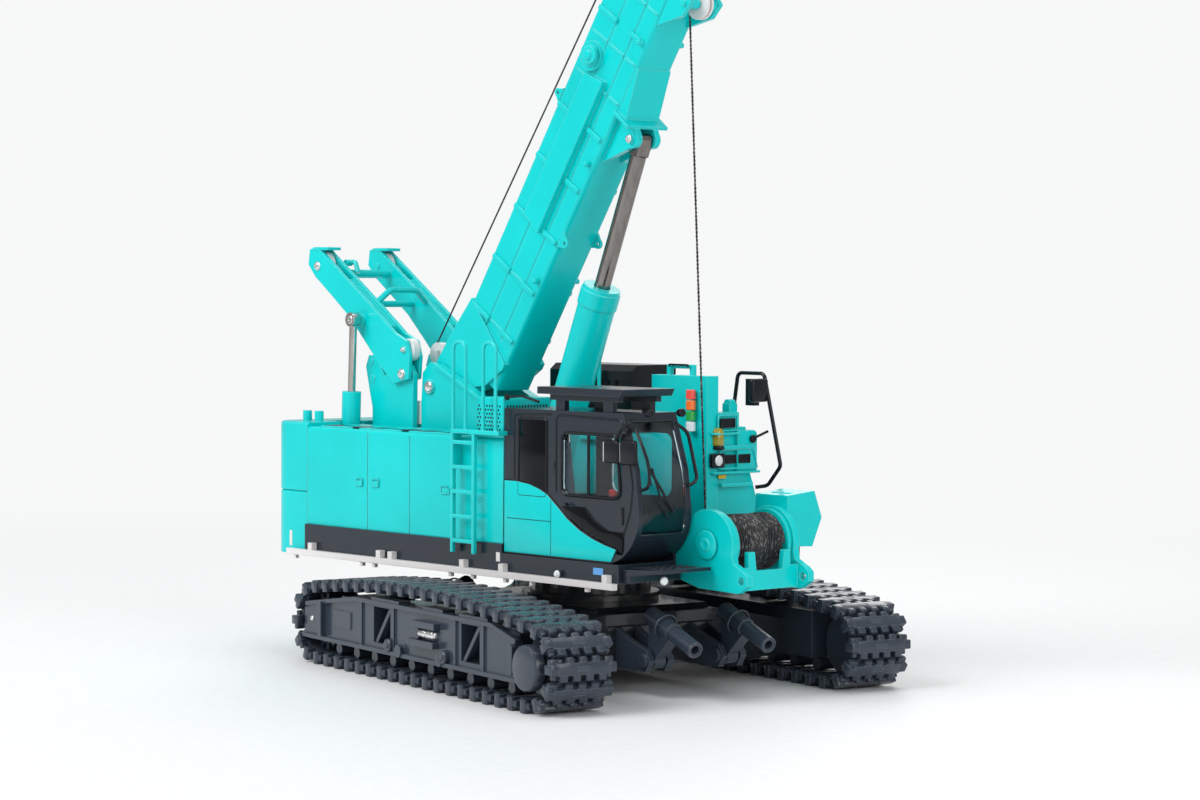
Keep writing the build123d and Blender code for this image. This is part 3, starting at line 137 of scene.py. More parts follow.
def skinGroup():
    # fine flow of sprayed enamel or moulded plastic, with a broad change of tone and dust on top faces
    group, entry, leave = newGroup(
        "sprayedSkin", [("Grain", "NodeSocketFloat", 2200.0), ("Patch", "NodeSocketFloat", 45.0)],
        [("Tone", "NodeSocketFloat"), ("Height", "NodeSocketFloat"), ("Dust", "NodeSocketFloat")])
    place = objectPlace(group)
    fine = noise(group, place, entry.outputs["Grain"], 3.0)
    broad = noise(group, place, entry.outputs["Patch"], 4.0)
    flat = addNode(group, "ShaderNodeNewGeometry")
    upward = addNode(group, "ShaderNodeSeparateXYZ", Vector=flat.outputs["Normal"])
    top = spread(group, upward.outputs["Z"], 0.0, 1.0, 0.55, 1.0)
    specks = spread(group, fine, 0.2, 1.0, 0.45, 0.75)
    feed(leave, Tone=broad, Height=fine, Dust=mathNode(group, "MULTIPLY", top, specks))
    return group


castEdge, sprayedSkin = edgeGroup(), skinGroup()
dustColour = (0.42, 0.42, 0.40, 1)


# materials

finishes = {   # colour, edge colour (a painted highlight along the rounded edges) and roughness; the rest where it differs from enamel's own values
    "tealEnamel": dict(colour=(0.001, 0.6, 0.6), edge=(0.15, 0.86, 0.84), rough=0.24, coat=0.15, width=0.4,
        grain=2000, ripple=0.0008, dust=0.02, highlightShare=0.7, shine=0.2),
    "darkEnamel": dict(colour=(0.03, 0.042, 0.062), edge=(0.13, 0.155, 0.19), rough=0.25, coat=0.2, width=0.3,
        grain=2600, ripple=0.002, dust=0.1, highlightShare=0.55),
    "trackEnamel": dict(colour=(0.032, 0.043, 0.063), edge=(0.15, 0.175, 0.21), rough=0.26, coat=0.2,
        width=0.25, grain=2600, ripple=0.002, dust=0.1, highlightShare=0.7),
    "cabPlastic": dict(colour=(0.013, 0.02, 0.031), edge=(0.09, 0.11, 0.14), rough=0.24, coat=0.12,
        width=0.35, grain=3200, ripple=0.002, dust=0.08, highlightShare=0.5),
    # the dark enamel made darker: painted shade for the car body and slew ring, which lie in shadow
    "shadedBodyEnamel": dict(colour=(0.012, 0.016, 0.021), edge=(0.06, 0.07, 0.085), rough=0.24, coat=0.4,
        width=0.35, grain=2400, ripple=0.005, dust=0.05, highlightShare=0.5),
    "whitePlastic": dict(colour=(0.74, 0.715, 0.715), edge=(0.86, 0.84, 0.83), rough=0.38, coat=0.1,
        ripple=0.006, dust=0.04, highlightShare=0.4),
    "blackPlastic": dict(colour=(0.007, 0.009, 0.013), edge=(0.06, 0.066, 0.078), rough=0.24, grain=3600,
        ripple=0.002, dust=0.03, highlightShare=0.5, shine=0.25),
    "seatVinyl": dict(colour=(0.11, 0.14, 0.2), edge=(0.08, 0.09, 0.11), rough=0.55, width=0.6, grain=2600,
        ripple=0.03, highlightShare=0.4),
    "redKnob": dict(colour=(0.6, 0.01, 0.012), edge=(0.75, 0.06, 0.05), rough=0.25, coat=0.4),
    "blueTrim": dict(colour=(0.01, 0.05, 0.42), edge=(0.04, 0.12, 0.6), rough=0.3, coat=0.3),
    "darkPane": dict(colour=(0.002, 0.003, 0.005), edge=(0.015, 0.017, 0.02), rough=0.06, ripple=0.002,
        shine=0.16),
    "amberLens": dict(colour=(0.33, 0.27, 0.01), edge=(0.7, 0.6, 0.06), rough=0.1, coat=0.8, width=0.5,
        grain=900, highlightShare=0.8),
    "plateYellow": dict(colour=(0.62, 0.43, 0.02), edge=(0.7, 0.5, 0.06), rough=0.35, coat=0.2, width=0.1,
        ripple=0.003),
    "plateBlue": dict(colour=(0.12, 0.38, 0.78), edge=(0.3, 0.5, 0.85), rough=0.35, coat=0.1, width=0.1,
        ripple=0.003),
    "lampWhite": dict(colour=(0.8, 0.82, 0.84), edge=(0.92, 0.93, 0.94), rough=0.12, coat=0.6, ripple=0.01),
}


def principled(name):
    material = bpy.data.materials.new(name)
    material.use_nodes = True
    return material, material.node_tree, material.node_tree.nodes["Principled BSDF"]


def enamel(name, colour, edge, rough, coat=0.0, width=0.2, grain=3000, ripple=0.004, dust=0.0, highlightShare=0.3,
           shine=0.35):
    material, tree, shader = principled(name)
    rim = addNode(tree, "ShaderNodeGroup", {"node_tree": castEdge}, Width=width * mm)
    skin = addNode(tree, "ShaderNodeGroup", {"node_tree": sprayedSkin}, Grain=grain)
    tone = spread(tree, skin.outputs["Tone"], 0.94, 1.06)
    base = mixColour(tree, "MULTIPLY", 1.0, (*colour, 1), tone)
    # the edge colour is painted light: a highlight laid along the rounded edges
    paintedHighlight = mathNode(tree, "MULTIPLY", rim.outputs["Mask"], highlightShare)
    highlighted = mixColour(tree, "MIX", paintedHighlight, base, (*edge, 1))
    settled = mathNode(tree, "MULTIPLY", skin.outputs["Dust"], dust)
    height = skin.outputs["Height"]
    feed(shader, Base_Color=mixColour(tree, "MIX", settled, highlighted, dustColour), Specular_IOR_Level=shine,
         Roughness=spread(tree, height, rough * 0.93, rough * 1.08), Coat_Weight=coat, Coat_Roughness=0.05)
    relief(tree, shader, 0.5, ripple * mm * 2, height, Normal=rim.outputs["Normal"])
    return material


def brushedMetal(name, colour, rough, stretch):
    # turned or drawn metal: fine marks run along the axis with the smallest stretch
    material, tree, shader = principled(name)
    drawn = addNode(tree, "ShaderNodeMapping", Vector=objectPlace(tree), Scale=stretch)
    marks = noise(tree, drawn.outputs[0], 900.0, 2.0)
    rim = addNode(tree, "ShaderNodeGroup", {"node_tree": castEdge}, Width=0.2 * mm)
    tone = spread(tree, marks, 0.82, 1.08)
    feed(shader, Base_Color=mixColour(tree, "MULTIPLY", 1.0, (*colour, 1), tone), Metallic=1.0,
         Roughness=spread(tree, marks, rough * 0.7, rough * 1.4))
    relief(tree, shader, 0.3, 0.01 * mm, marks, Normal=rim.outputs["Normal"])
    return material


def clearPlastic(name, tint, rough):
    material, tree, shader = principled(name)
    skin = addNode(tree, "ShaderNodeGroup", {"node_tree": sprayedSkin}, Grain=900.0, Patch=60.0)
    feed(shader, Base_Color=mixColour(tree, "MIX", skin.outputs["Dust"], (*tint, 1), dustColour),
         Roughness=spread(tree, skin.outputs["Tone"], rough * 0.6, rough * 1.6),
         Transmission_Weight=1.0, IOR=1.3)
    return material


def lampStack(name, bands):
    # coloured lenses one above another: (height where each starts, colour)
    material, tree, shader = principled(name)
    place = objectPlace(tree)
    height = addNode(tree, "ShaderNodeSeparateXYZ", Vector=place)
    low, high = bands[0][0], bands[-1][0] + 3 * mm
    along = spread(tree, height.outputs["Z"], 0.0, 1.0, low, high)
    ramp = addNode(tree, "ShaderNodeValToRGB", Fac=along)
    ramp.color_ramp.interpolation = "CONSTANT"
    stops = ramp.color_ramp.elements
    while len(stops) < len(bands):
        stops.new(0.5)
    for stop, (start, colour) in zip(stops, bands):
        stop.position, stop.color = (start - low) / (high - low), (*colour, 1)
    fins = addNode(tree, "ShaderNodeTexWave", {"bands_direction": "Z"}, Vector=place, Scale=900.0)
    glow = mixColour(tree, "MULTIPLY", 1.0, ramp.outputs[0], (0.5, 0.5, 0.5, 1))
    # the emission is painted light: the plastic lenses glow though nothing lights them
    feed(shader, Base_Color=ramp.outputs[0], Emission_Color=glow, Emission_Strength=0.25, Roughness=0.15,
         Coat_Weight=0.5)
    relief(tree, shader, 0.4, 0.05 * mm, fins.outputs[0])
    return material


def ropeMaterial(name, dark, light, lay):
    # pale flecks, drawn out, on dark strands
    material, tree, shader = principled(name)
    drawn = addNode(tree, "ShaderNodeMapping", Vector=objectPlace(tree), Scale=(1.0, 0.3, 0.3))
    twist = noise(tree, drawn.outputs[0], lay, 2.0)
    fleck = spread(tree, twist, 0.0, 1.0, 0.54, 0.66)
    feed(shader, Base_Color=mixColour(tree, "MIX", fleck, (*dark, 1), (*light, 1)), Roughness=0.6)
    relief(tree, shader, 0.6, 0.05 * mm, twist)
    return material


paint = {name: enamel(name, **values) for name, values in finishes.items()}
for name, make, *values in (
        ("brightRod", brushedMetal, (0.22, 0.205, 0.195), 0.14, (1.0, 1.0, 0.12)),
        ("chromeRod", brushedMetal, (0.58, 0.55, 0.52), 0.14, (1.0, 1.0, 0.12)),
        ("brightPin", brushedMetal, (0.80, 0.80, 0.80), 0.18, (0.15, 1.0, 1.0)),
        ("clearPane", clearPlastic, (0.80, 0.92, 0.95), 0.05),
        ("ropeBlack", ropeMaterial, (0.010, 0.010, 0.012), (0.060, 0.060, 0.065), 900.0),
        ("ropeFlecked", ropeMaterial, (0.012, 0.012, 0.015), (0.20, 0.195, 0.19), 3200.0)):
    paint[name] = make(name, *values)
paint["lampStack"] = lampStack("lampStack", [
    (50.0 * mm, (0.75, 0.76, 0.76)), (56.0 * mm, (0.26, 0.20, 0.004)), (60.5 * mm, (0.66, 0.70, 0.74)),
    (63.15 * mm, (0.02, 0.34, 0.05)), (65.75 * mm, (0.85, 0.16, 0.02)), (68.35 * mm, (0.82, 0.07, 0.05))])

slotPaint = {"teal_enamel": "tealEnamel", "dark_enamel": "darkEnamel", "white_plastic": "whitePlastic",
             "dark_plastic": "cabPlastic", "black_plastic": "blackPlastic", "clear_plastic": "clearPane",
             "bright_rod": "brightRod", "lamp_plastic": "lampStack"}
# car_body and slew_ring take the darker enamel as painted shade
nodePaint = {"track_left": "trackEnamel", "track_right": "trackEnamel", "car_body": "shadedBodyEnamel",
             "slew_ring": "shadedBodyEnamel", "mast_rods": "chromeRod", "cab_seat": "seatVinyl",
             "intake_hood": "blackPlastic"}


def dress(obj, name):
    obj.data.materials.clear()
    obj.data.materials.append(paint[name])


for row in frame["record"]["subparts"]:
    name = row["node"]
    dress(frame["nodes"][name], nodePaint.get(name, slotPaint[row["material_slot"]]))
print("materials made:", len(paint))

# the hook block's falls are rope and its hook is dark metal, told apart by height
hookHeights = dict(ropesAbove=219.5, hookBelow=207.6)
hookBlock = frame["nodes"]["hook_block"]
hookBlock.data.materials.append(paint["ropeBlack"])
hookBlock.data.materials.append(paint["trackEnamel"])
for face in hookBlock.data.polygons:
    height = (hookBlock.matrix_world @ face.center).z / mm
    if height > hookHeights["ropesAbove"]:
        face.material_index = 1
    elif height < hookHeights["hookBelow"]:
        face.material_index = 2


# modelling steps shared by the pieces

def choose(*pieces):
    # these objects alone are selected, the first one active
    if bpy.context.object and bpy.context.object.mode != "OBJECT":
        bpy.ops.object.mode_set(mode="OBJECT")
    bpy.ops.object.select_all(action="DESELECT")
    for obj in pieces:
        obj.select_set(True)
    if pieces:
        bpy.context.view_layer.objects.active = pieces[0]


def added(name, data):
    obj = bpy.data.objects.new(name, data)
    bpy.context.scene.collection.objects.link(obj)
    return obj


def settle(obj):
    # the place, turn and size go into the mesh
    choose(obj)
    bpy.ops.object.transform_apply(location=True, rotation=True, scale=True)
    return obj


def joined(pieces):
    choose(*pieces)
    bpy.ops.object.join()
    return bpy.context.object


def editAll():
    bpy.ops.object.mode_set(mode="EDIT")
    bpy.ops.mesh.select_all(action="SELECT")


def finishPiece(shape, name, paintName, body="superstructure", smoothAngle=35):
    # one object, or a list of them as one piece, cleaned, painted and given to its body
    obj = settle(joined(shape) if isinstance(shape, list) else shape)
    editAll()
    bpy.ops.mesh.remove_doubles(threshold=0.002 * mm)
    bpy.ops.mesh.normals_make_consistent(inside=False)
    bpy.ops.object.mode_set(mode="OBJECT")
    bpy.ops.object.shade_smooth_by_angle(angle=math.radians(smoothAngle))
    obj.name = name
    dress(obj, paintName)
    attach(obj, body)
    return obj


def softBlock(low, high, edge=0.15, steps=2):
    # a block from corner to corner in millimetres, its edges rounded
    choose()
    middle = [(a + b) / 2 * mm for a, b in zip(low, high)]
    size = [abs(b - a) * mm for a, b in zip(low, high)]
    bpy.ops.mesh.primitive_cube_add(size=1, location=middle, scale=size)
    obj = settle(bpy.context.object)
    editAll()
    bpy.ops.mesh.bevel(offset=edge * mm, segments=steps, affect="EDGES")
    bpy.ops.object.mode_set(mode="OBJECT")
    return obj


def sideBlock(side, span, low, high, edge=0.15, steps=2):
    # a rounded block on one side of the middle: span across, then (y, z) low and high
    near, far = sorted((side * span[0], side * span[1]))
    return softBlock((near, *low), (far, *high), edge, steps)


def aimed(obj, place, axis):
    # its own upright set along an axis, at a place in millimetres
    obj.rotation_mode = "QUATERNION"
    obj.rotation_quaternion = Vector((0, 0, 1)).rotation_difference(Vector(axis))
    obj.location = [value * mm for value in place]
    return settle(obj)


def turned(steps, place, axis=(0, 0, 1), sides=24):
    # a round stepped form: (distance along the axis, radius) in millimetres, closed at both ends
    choose()
    (last, wide), *others = steps
    bpy.ops.mesh.primitive_circle_add(vertices=sides, radius=wide * mm, fill_type="NGON",
                                      location=(0, 0, last * mm))
    obj = bpy.context.object
    editAll()
    for along, radius in others:
        bpy.ops.mesh.extrude_region_move(TRANSFORM_OT_translate={"value": (0, 0, (along - last) * mm)})
        bpy.ops.transform.resize(value=(radius / wide,) * 2 + (1,), center_override=(0, 0, along * mm))
        last, wide = along, radius
    bpy.ops.object.mode_set(mode="OBJECT")
    return aimed(obj, place, axis)


def curveMesh(curve, place=None):
    # a finished curve as a mesh
    obj = added(curve.name, curve)
    obj.matrix_world = place or Matrix()
    choose(obj)
    bpy.ops.object.convert(target="MESH")
    return bpy.context.object


def polyCurve(name, dimensions, points, closed):
    curve = bpy.data.curves.new(name, "CURVE")
    curve.dimensions = dimensions
    line = curve.splines.new("POLY")
    line.points.add(len(points) - 1)
    for point, place in zip(line.points, points):
        point.co = (*(Vector(place).to_3d() * mm), 1)
    line.use_cyclic_u = closed
    return curve


def rawTube(points, radius, sides=6, closed=False):
    # a round bar exactly through its points
    curve = polyCurve("bar", "3D", points, closed)
    curve.bevel_depth, curve.bevel_resolution = radius * mm, max(0, sides // 4 - 1)
    curve.use_fill_caps = not closed
    return curveMesh(curve)


def bentTube(points, radius, bend, sides=8, closed=False):
    # a round bar along corner points in millimetres, its corners bent to a radius
    corners = [Vector(point) for point in points]
    path = [corners[0]]
    for before, corner, after in zip(corners, corners[1:], corners[2:]):
        back, on = (before - corner), (after - corner)
        reach = min(bend, back.length * 0.49, on.length * 0.49)
        first, last = corner + back.normalized() * reach, corner + on.normalized() * reach
        for share in (step / 6 for step in range(7)):
            path.append(first.lerp(corner, share).lerp(corner.lerp(last, share), share))
    path.append(corners[-1])
    return rawTube(path, radius, sides, closed)


def copyOf(obj):
    return settle(added(obj.name, obj.data.copy()))


def copies(seed, places):
    # one copy of the seed for each (place, turn)
    made = [moved(copyOf(seed), *where) for where in places]
    bpy.data.objects.remove(seed)
    return made


def edges(node):
    low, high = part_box(node)
    return [value / mm for value in low], [value / mm for value in high]


def plate(outline, start, thick, facing, edge):
    # a flat piece from an outline in millimetres: (y, z) facing x or (x, z) facing y
    curve = polyCurve("plate", "2D", outline, True)
    curve.fill_mode = "BOTH"
    curve.extrude = (thick / 2 - edge) * mm
    curve.bevel_depth, curve.bevel_resolution, curve.offset = edge * mm, 1, -edge * mm
    middle = (start + thick / 2) * mm
    place, *axes = {"x": ((middle, 0, 0), (0, 0, 1), (1, 0, 0), (0, 1, 0)),
                    "y": ((0, middle, 0), (1, 0, 0), (0, 0, -1), (0, 1, 0))}[facing]
    return settle(curveMesh(curve, Matrix.Translation(place) @ Matrix(axes).to_4x4()))


def moved(obj, place=(0, 0, 0), turn=(0, 0, 0)):
    # turned about the origin, in degrees, and then moved, in millimetres
    obj.rotation_mode = "XYZ"
    obj.rotation_euler = [math.radians(angle) for angle in turn]
    obj.location = [value * mm for value in place]
    return settle(obj)


def pinAt(joint):
    return [value / mm for value in next(row["pos_m"] for row in frame["joints"] if row["name"] == joint)]


def ring(radius, thick, place, axis):
    choose()
    bpy.ops.mesh.primitive_torus_add(major_radius=radius * mm, minor_radius=thick * mm,
                                     major_segments=24, minor_segments=8)
    return aimed(bpy.context.object, place, axis)


def pinHead(place, radius, proud, axis):
    # a turned pin end: a shoulder, a chamfered head and a centre drilling
    steps = (0, 1), (0.4, 1), (0.4, 0.8), (0.8, 0.8), (1, 0.62), (1, 0.25), (0.6, 0.18)
    return turned([(proud * along, radius * wide) for along, wide in steps], place, axis, 20)


def bolt(place, radius, proud, axis):
    return turned(((0, radius), (proud * 0.7, radius), (proud, radius * 0.8)), place, axis, 6)


# the undercarriage stands turned under the superstructure: it is drawn straight and then turned
jackAxis = next(row["axis"] for row in frame["joints"] if row["name"] == "jack_front_right_swing")
baseTurn = math.degrees(math.atan2(jackAxis[1], jackAxis[0]))
track = dict(gauge=83.4, width=17.4, halfBase=53.4, wheelRadius=10.45, crownHeight=24.3, endHeight=20.9,
             lug=1.3, shoes=48, wing=1.7, wingDepth=2.2, finger=2.1, frontKnuckles=4)


def loopPlace(distance):
    # where a shoe's outer face lies, the angle it faces, and the whole loop's length
    half, wheel, lug, top = (track[key] for key in ("halfBase", "wheelRadius", "lug", "crownHeight"))
    radius, crownRadius = wheel - lug, (half ** 2 / (top - track["endHeight"]) + top) / 2
    centre = top - crownRadius
    crownHalf = math.atan2(half, wheel - centre)
    turn, crown = radius * (math.pi - crownHalf), (crownRadius - lug) * 2 * crownHalf
    total = 2 * half + 2 * turn + crown
    distance %= total
    if distance < 2 * half:
        return distance - half, 0.0, -90.0, total
    distance -= 2 * half
    if distance < turn:
        angle = -math.pi / 2 + distance / radius
        reach, middle = radius + lug - 0.22, (half, wheel)
    elif distance < turn + crown:
        angle = math.pi / 2 - crownHalf + (distance - turn) / (crownRadius - lug)
        reach, middle = crownRadius - 0.02, (0, centre)
    else:
        angle = math.pi / 2 + crownHalf + (distance - turn - crown) / radius
        reach, middle = radius + lug - 0.22, (-half, wheel)
    return (middle[0] + reach * math.cos(angle), middle[1] + reach * math.sin(angle),
            math.degrees(angle), total)


def trackShoe():
    # one shoe lying flat, its face up at height 0 and its run along y: a cross bar, hinge fingers and claws
    half = track["width"] / 2
    inner = half - track["wing"]
    pieces = [softBlock((-inner, -1.55, -2.6), (inner, 1.4, -0.05), 0.22),
              softBlock((-inner + 0.6, -2.3, -2.9), (inner - 0.6, 2.3, -2.0), 0.2),
              softBlock((-1.6, -0.55, -0.4), (1.6, -0.25, 0.0), 0.06, 1),
              softBlock((-1.6, 0.2, -0.4), (1.6, 0.5, 0.0), 0.06, 1)]
    room = 2 * (inner - 0.2)
    for end, number, shift in ((1, track["frontKnuckles"], 0), (-1, track["frontKnuckles"] - 1, 0.5)):
        for index in range(number):
            middle = -room / 2 + room * (index + 0.5 + shift) / track["frontKnuckles"]
            width = track["finger"] / 2
            low, high = sorted((end * 0.6, end * 2.8))
            pieces.append(softBlock((middle - width, low, -2.3), (middle + width, high, -0.12), 0.45, 3))
    for side in (-1, 1):
        pieces += [sideBlock(side, (inner - 0.5, half), (-1.2, -track["wingDepth"] - 1.0), (1.05, 0), 0.3),
                   sideBlock(side, (inner - 1.0, half - 0.35), (-2.45, -2.4), (-0.6, -0.9), 0.3),
                   sideBlock(side, (inner - 0.4, half - 0.9), (0.5, -2.4), (2.3, -1.0), 0.3)]
    return joined(pieces)


def buildTracks():
    shoe = trackShoe()
    pitch = loopPlace(0)[3] / track["shoes"]
    for side, node in ((1, "track_right"), (-1, "track_left")):
        chain = []
        for index in range(track["shoes"]):
            along, height, facing = loopPlace((index + 0.5) * pitch)[:3]
            chain.append(moved(copyOf(shoe), (0, along, height), (facing - 90, 0, 0)))
        loop = moved(joined(chain), (side * track["gauge"] / 2, 0, 0))
        moved(loop, turn=(0, 0, baseTurn))
        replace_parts(finishPiece(loop, "shoes_" + node, "trackEnamel", "undercarriage"), node)
    bpy.data.objects.remove(shoe)


frameDetails = dict(
    face=48.9, hub=(2.4, 13.2), rearPin=(-54.8, 11.2), capBolts=3.1, bosses=((-13.0, 8.6), (14.0, 8.6)),
    footBolts=12, footStart=-38.5, footPitch=7.0,
    hubSteps=((-4.2, 0.7), (-3.8, 1.25), (-1.2, 1.35), (-1.0, 1.05), (-0.4, 1.05), (-0.2, 1.4), (2.9, 1.4),
              (3.3, 1.0), (3.5, 0.5)),
    capSteps=((-2.0, 5.3), (0.1, 5.3), (0.6, 5.0), (0.7, 4.7), (0.7, 0.4)),
    bossSteps=((-0.6, 1.7), (0.5, 1.7), (0.8, 1.4), (0.8, 0.8), (1.1, 0.7)))


def buildFrameDetails():
    # bright hub and pins, bolt heads on the idler caps and along the frame's foot
    parts = frameDetails
    face, bright, painted = parts["face"], [], []
    for side in (1, -1):
        axis = (side, 0, 0)
        bright.append(turned(parts["hubSteps"], (side * (face + 0.1), *parts["hub"]), (0, 1, 0)))
        bright.append(pinHead((side * (face - 0.6), *parts["rearPin"]), 0.9, 0.9, axis))
        for end in (-1, 1):
            for angle in (math.radians(60 * step + 30) for step in range(6)):
                place = (side * (face - 0.4), end * track["halfBase"] + parts["capBolts"] * math.cos(angle),
                         track["wheelRadius"] + parts["capBolts"] * math.sin(angle))
                painted.append(bolt(place, 0.38, 0.3, axis))
        for step in range(parts["footBolts"]):
            painted.append(bolt((side * (face - 0.5), parts["footStart"] + parts["footPitch"] * step, 6.9),
                                0.36, 0.35, axis))
        cap = (side * (face - 0.2), track["halfBase"], track["wheelRadius"])
        painted.append(turned(parts["capSteps"], cap, axis, 40))
        painted += [turned(parts["bossSteps"], (side * (face - 0.1), *place), axis, 20)
                    for place in parts["bosses"]]
    for pieces, name, finish in ((bright, "framePins", "brightPin"), (painted, "frameBolts", "trackEnamel")):
        finishPiece(moved(joined(pieces), turn=(0, 0, baseTurn)), name, finish, "undercarriage")


jackFace = dict(lift=9.0, nose=14.0, lean=-19.0, mouth=1.7)


def buildJackDetails():
    reach, lift = jackFace["mouth"], jackFace["lift"]
    for end, across, turn in (("front", "right", 0), ("front", "left", 0), ("rear", "right", 180),
                              ("rear", "left", 180)):
        body = "jack_%s_%s" % (end, across)
        straight = Matrix.Rotation(math.radians(-baseTurn), 3, "Z") @ Vector(pinAt(body + "_swing"))
        piece = joined([ring(reach, 0.28, (0, jackFace["nose"], lift), (0, 1, 0)),
                        ring(reach + 1.3, 0.22, (0, 1.2, lift), (0, 1, 0))])
        moved(piece, turn=(jackFace["lean"], 0, 0))
        moved(piece, straight, (0, 0, turn))
        moved(piece, turn=(0, 0, baseTurn))
        finishPiece(piece, body + "_rings", "darkEnamel", body)


cabSide = dict(face=29.37, proud=0.3, seamHeight=40.3, seamAlong=18.5)
panelOutline = ((1.7, 32.1), (1.7, 49.3), (6, 49.3), (10.7, 48.8), (14, 47.9), (17.1, 46.7), (21.3, 43.6),
                (24.1, 41.4), (28.4, 39), (32.6, 37.3), (36.8, 36.1), (41, 35.2), (39.3, 32.2))
cornerPane = ((22.4, 44.2), (30.1, 44.4), (33.5, 41.5), (38.1, 39.3), (43.4, 39.2), (43.2, 34.3),
              (41, 35.4), (36.9, 36.6), (32.8, 37.8), (28.7, 39.5), (24.5, 41.9))
doorOutline = ((20, 47.4), (20, 64.8), (20.8, 65.5), (42.6, 65.1), (44.3, 60), (46.4, 50),
               (45.6, 44), (42.4, 36.4))
rearPane = ((6.6, 46.4), (7, 46), (16.2, 46), (16.6, 46.4), (16.6, 64), (16.2, 64.4), (7, 64.4),
            (6.6, 64))
doorPane = ((22.2, 48), (23.3, 46.9), (41, 46.9), (42.2, 48), (41.3, 60.6), (40.4, 61.5), (23.3, 61.5),
            (22.2, 60.4))


def buildCabSide():
    face, proud = cabSide["face"], cabSide["proud"]
    panel = finishPiece(plate(panelOutline, face, proud, "x", 0.06), "cabSideSkin", "tealEnamel")
    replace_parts(panel, "cab_side_panel")
    outer, seam, along = face + proud - 0.03, cabSide["seamHeight"], cabSide["seamAlong"]
    trim = [bentTube([(outer - 0.15, y, z) for y, z in panelOutline[1:-1]], 0.22, 0.6),
            bentTube([(face + 0.1, y, z) for y, z in doorPane], 0.42, 0.8, closed=True),
            bentTube([(face + 0.1, 31.4, 47.2), (face + 0.1, 31.4, 61.2)], 0.4, 0),
            bentTube([(face, y, z) for y, z in rearPane], 0.35, 0.8, closed=True),
            bentTube([(outer, 2.7, seam), (outer, along, seam)], 0.1, 0),
            bentTube([(outer, along, 32.4), (outer, along, 45.4)], 0.1, 0),
            bentTube([(face - 0.12, y, z) for y, z in doorOutline], 0.32, 1.2),
            bentTube([(face - 0.12, y, z) for y, z in ((5, 49.8), (5, 65.2), (18, 65.6))], 0.3, 1),
            softBlock((outer - 0.5, 42.6, 41), (outer, 43.4, 45.1), 0.2),
            softBlock((outer - 0.6, 19.3, 51.5), (outer - 0.05, 20.1, 54.6), 0.2)]
    finishPiece(trim, "cabSideTrim", "blackPlastic")
    panes = [plate(cornerPane, face + 0.02, 0.3, "x", 0.08), plate(rearPane, face - 0.3, 0.45, "x", 0.08)]
    finishPiece(panes, "cabDarkPanes", "darkPane")


cabBars = dict(   # corner points, thickness, rounding of the corners
    mirrorArm=(((29.2, 45.8, 65.3), (30.4, 46.2, 64.6), (30.4, 43.1, 62.8), (30.4, 41.5, 60.4)), 0.42, 1),
    nearRail=(((28.8, 46.3, 63.6), (29.8, 49.9, 59.5), (29.8, 52.2, 55.1), (29.8, 52.3, 50.1),
               (28.8, 48.6, 49.2)), 0.42, 2),
    farRail=(((16.9, 47.5, 64.3), (13.4, 47.9, 62.1), (10.6, 48.4, 50.8), (13.2, 47.8, 49.6)), 0.42, 1.5),
    wiperBlade=(((26.3, 48, 54.7), (21.8, 48.5, 48.4), (18, 48.2, 43.7)), 0.32, 0.5),
    wiperArm=(((25.1, 48.2, 54.2), (23, 48.6, 47.8), (20.2, 48.4, 42.5)), 0.26, 0.5),
    upperWiper=(((27.3, 48, 58.6), (25.4, 48.3, 50.2)), 0.22, 0.5),
    roofRail=(((29.3, 2.5, 69.2), (29.3, 8, 69.6), (29.3, 13.6, 68.4)), 0.35, 1))
cabLamps = dict(   # shell and glass as (along, radius)
    mirror=dict(places=((30.2, 44.2, 62.6),), shell=((-0.9, 0.7), (-0.4, 1), (0.7, 1.1), (0.9, 0.95)),
                glass=((0, 0.8), (0.25, 0.7), (0.4, 0.4))),
    roof=dict(places=((16.2, 47.4, 66.7), (26.4, 47.4, 66.7)),
              shell=((-0.9, 0.6), (-0.4, 0.9), (0.7, 1), (0.9, 0.85)),
              glass=((0, 0.75), (0.25, 0.65), (0.4, 0.4))))
front = dict(
    mirrors=(((29.7, 37.9, 55.1), (31.1, 43, 60.4)), ((29.5, 43.2, 54.9), (30.9, 48.4, 60.6))),
    mirrorFaces=(((29.85, 38.2, 55.5), (30.9, 37.8, 60)), ((29.7, 43.5, 55.4), (30.6, 43.1, 60.1))),
    railFoot=(29.3, 1.6, 69.2), stepLamp=(26.4, 53.6, 28.7), sideLamp=(31.1, 22.5, 28.3), glassStep=0.8,
    strip=((28.3, 43.4, 46.8), (27.9, 42.9, 61)), bluePlate=((30.1, 34, 29), (30.28, 37.4, 30.6)),
    whitePlate=((30.1, -0.6, 29.6), (30.28, 0.8, 31.8)))
knobSteps = {(25.2, 35.3, 45.6): ((0, 0.4), (1.6, 0.4), (1.6, 0.9), (2.6, 0.95), (3, 0.5)),
             (17.4, 35, 45.6): ((0, 0.35), (1.2, 0.35), (1.2, 0.8), (2, 0.8), (2.3, 0.4))}


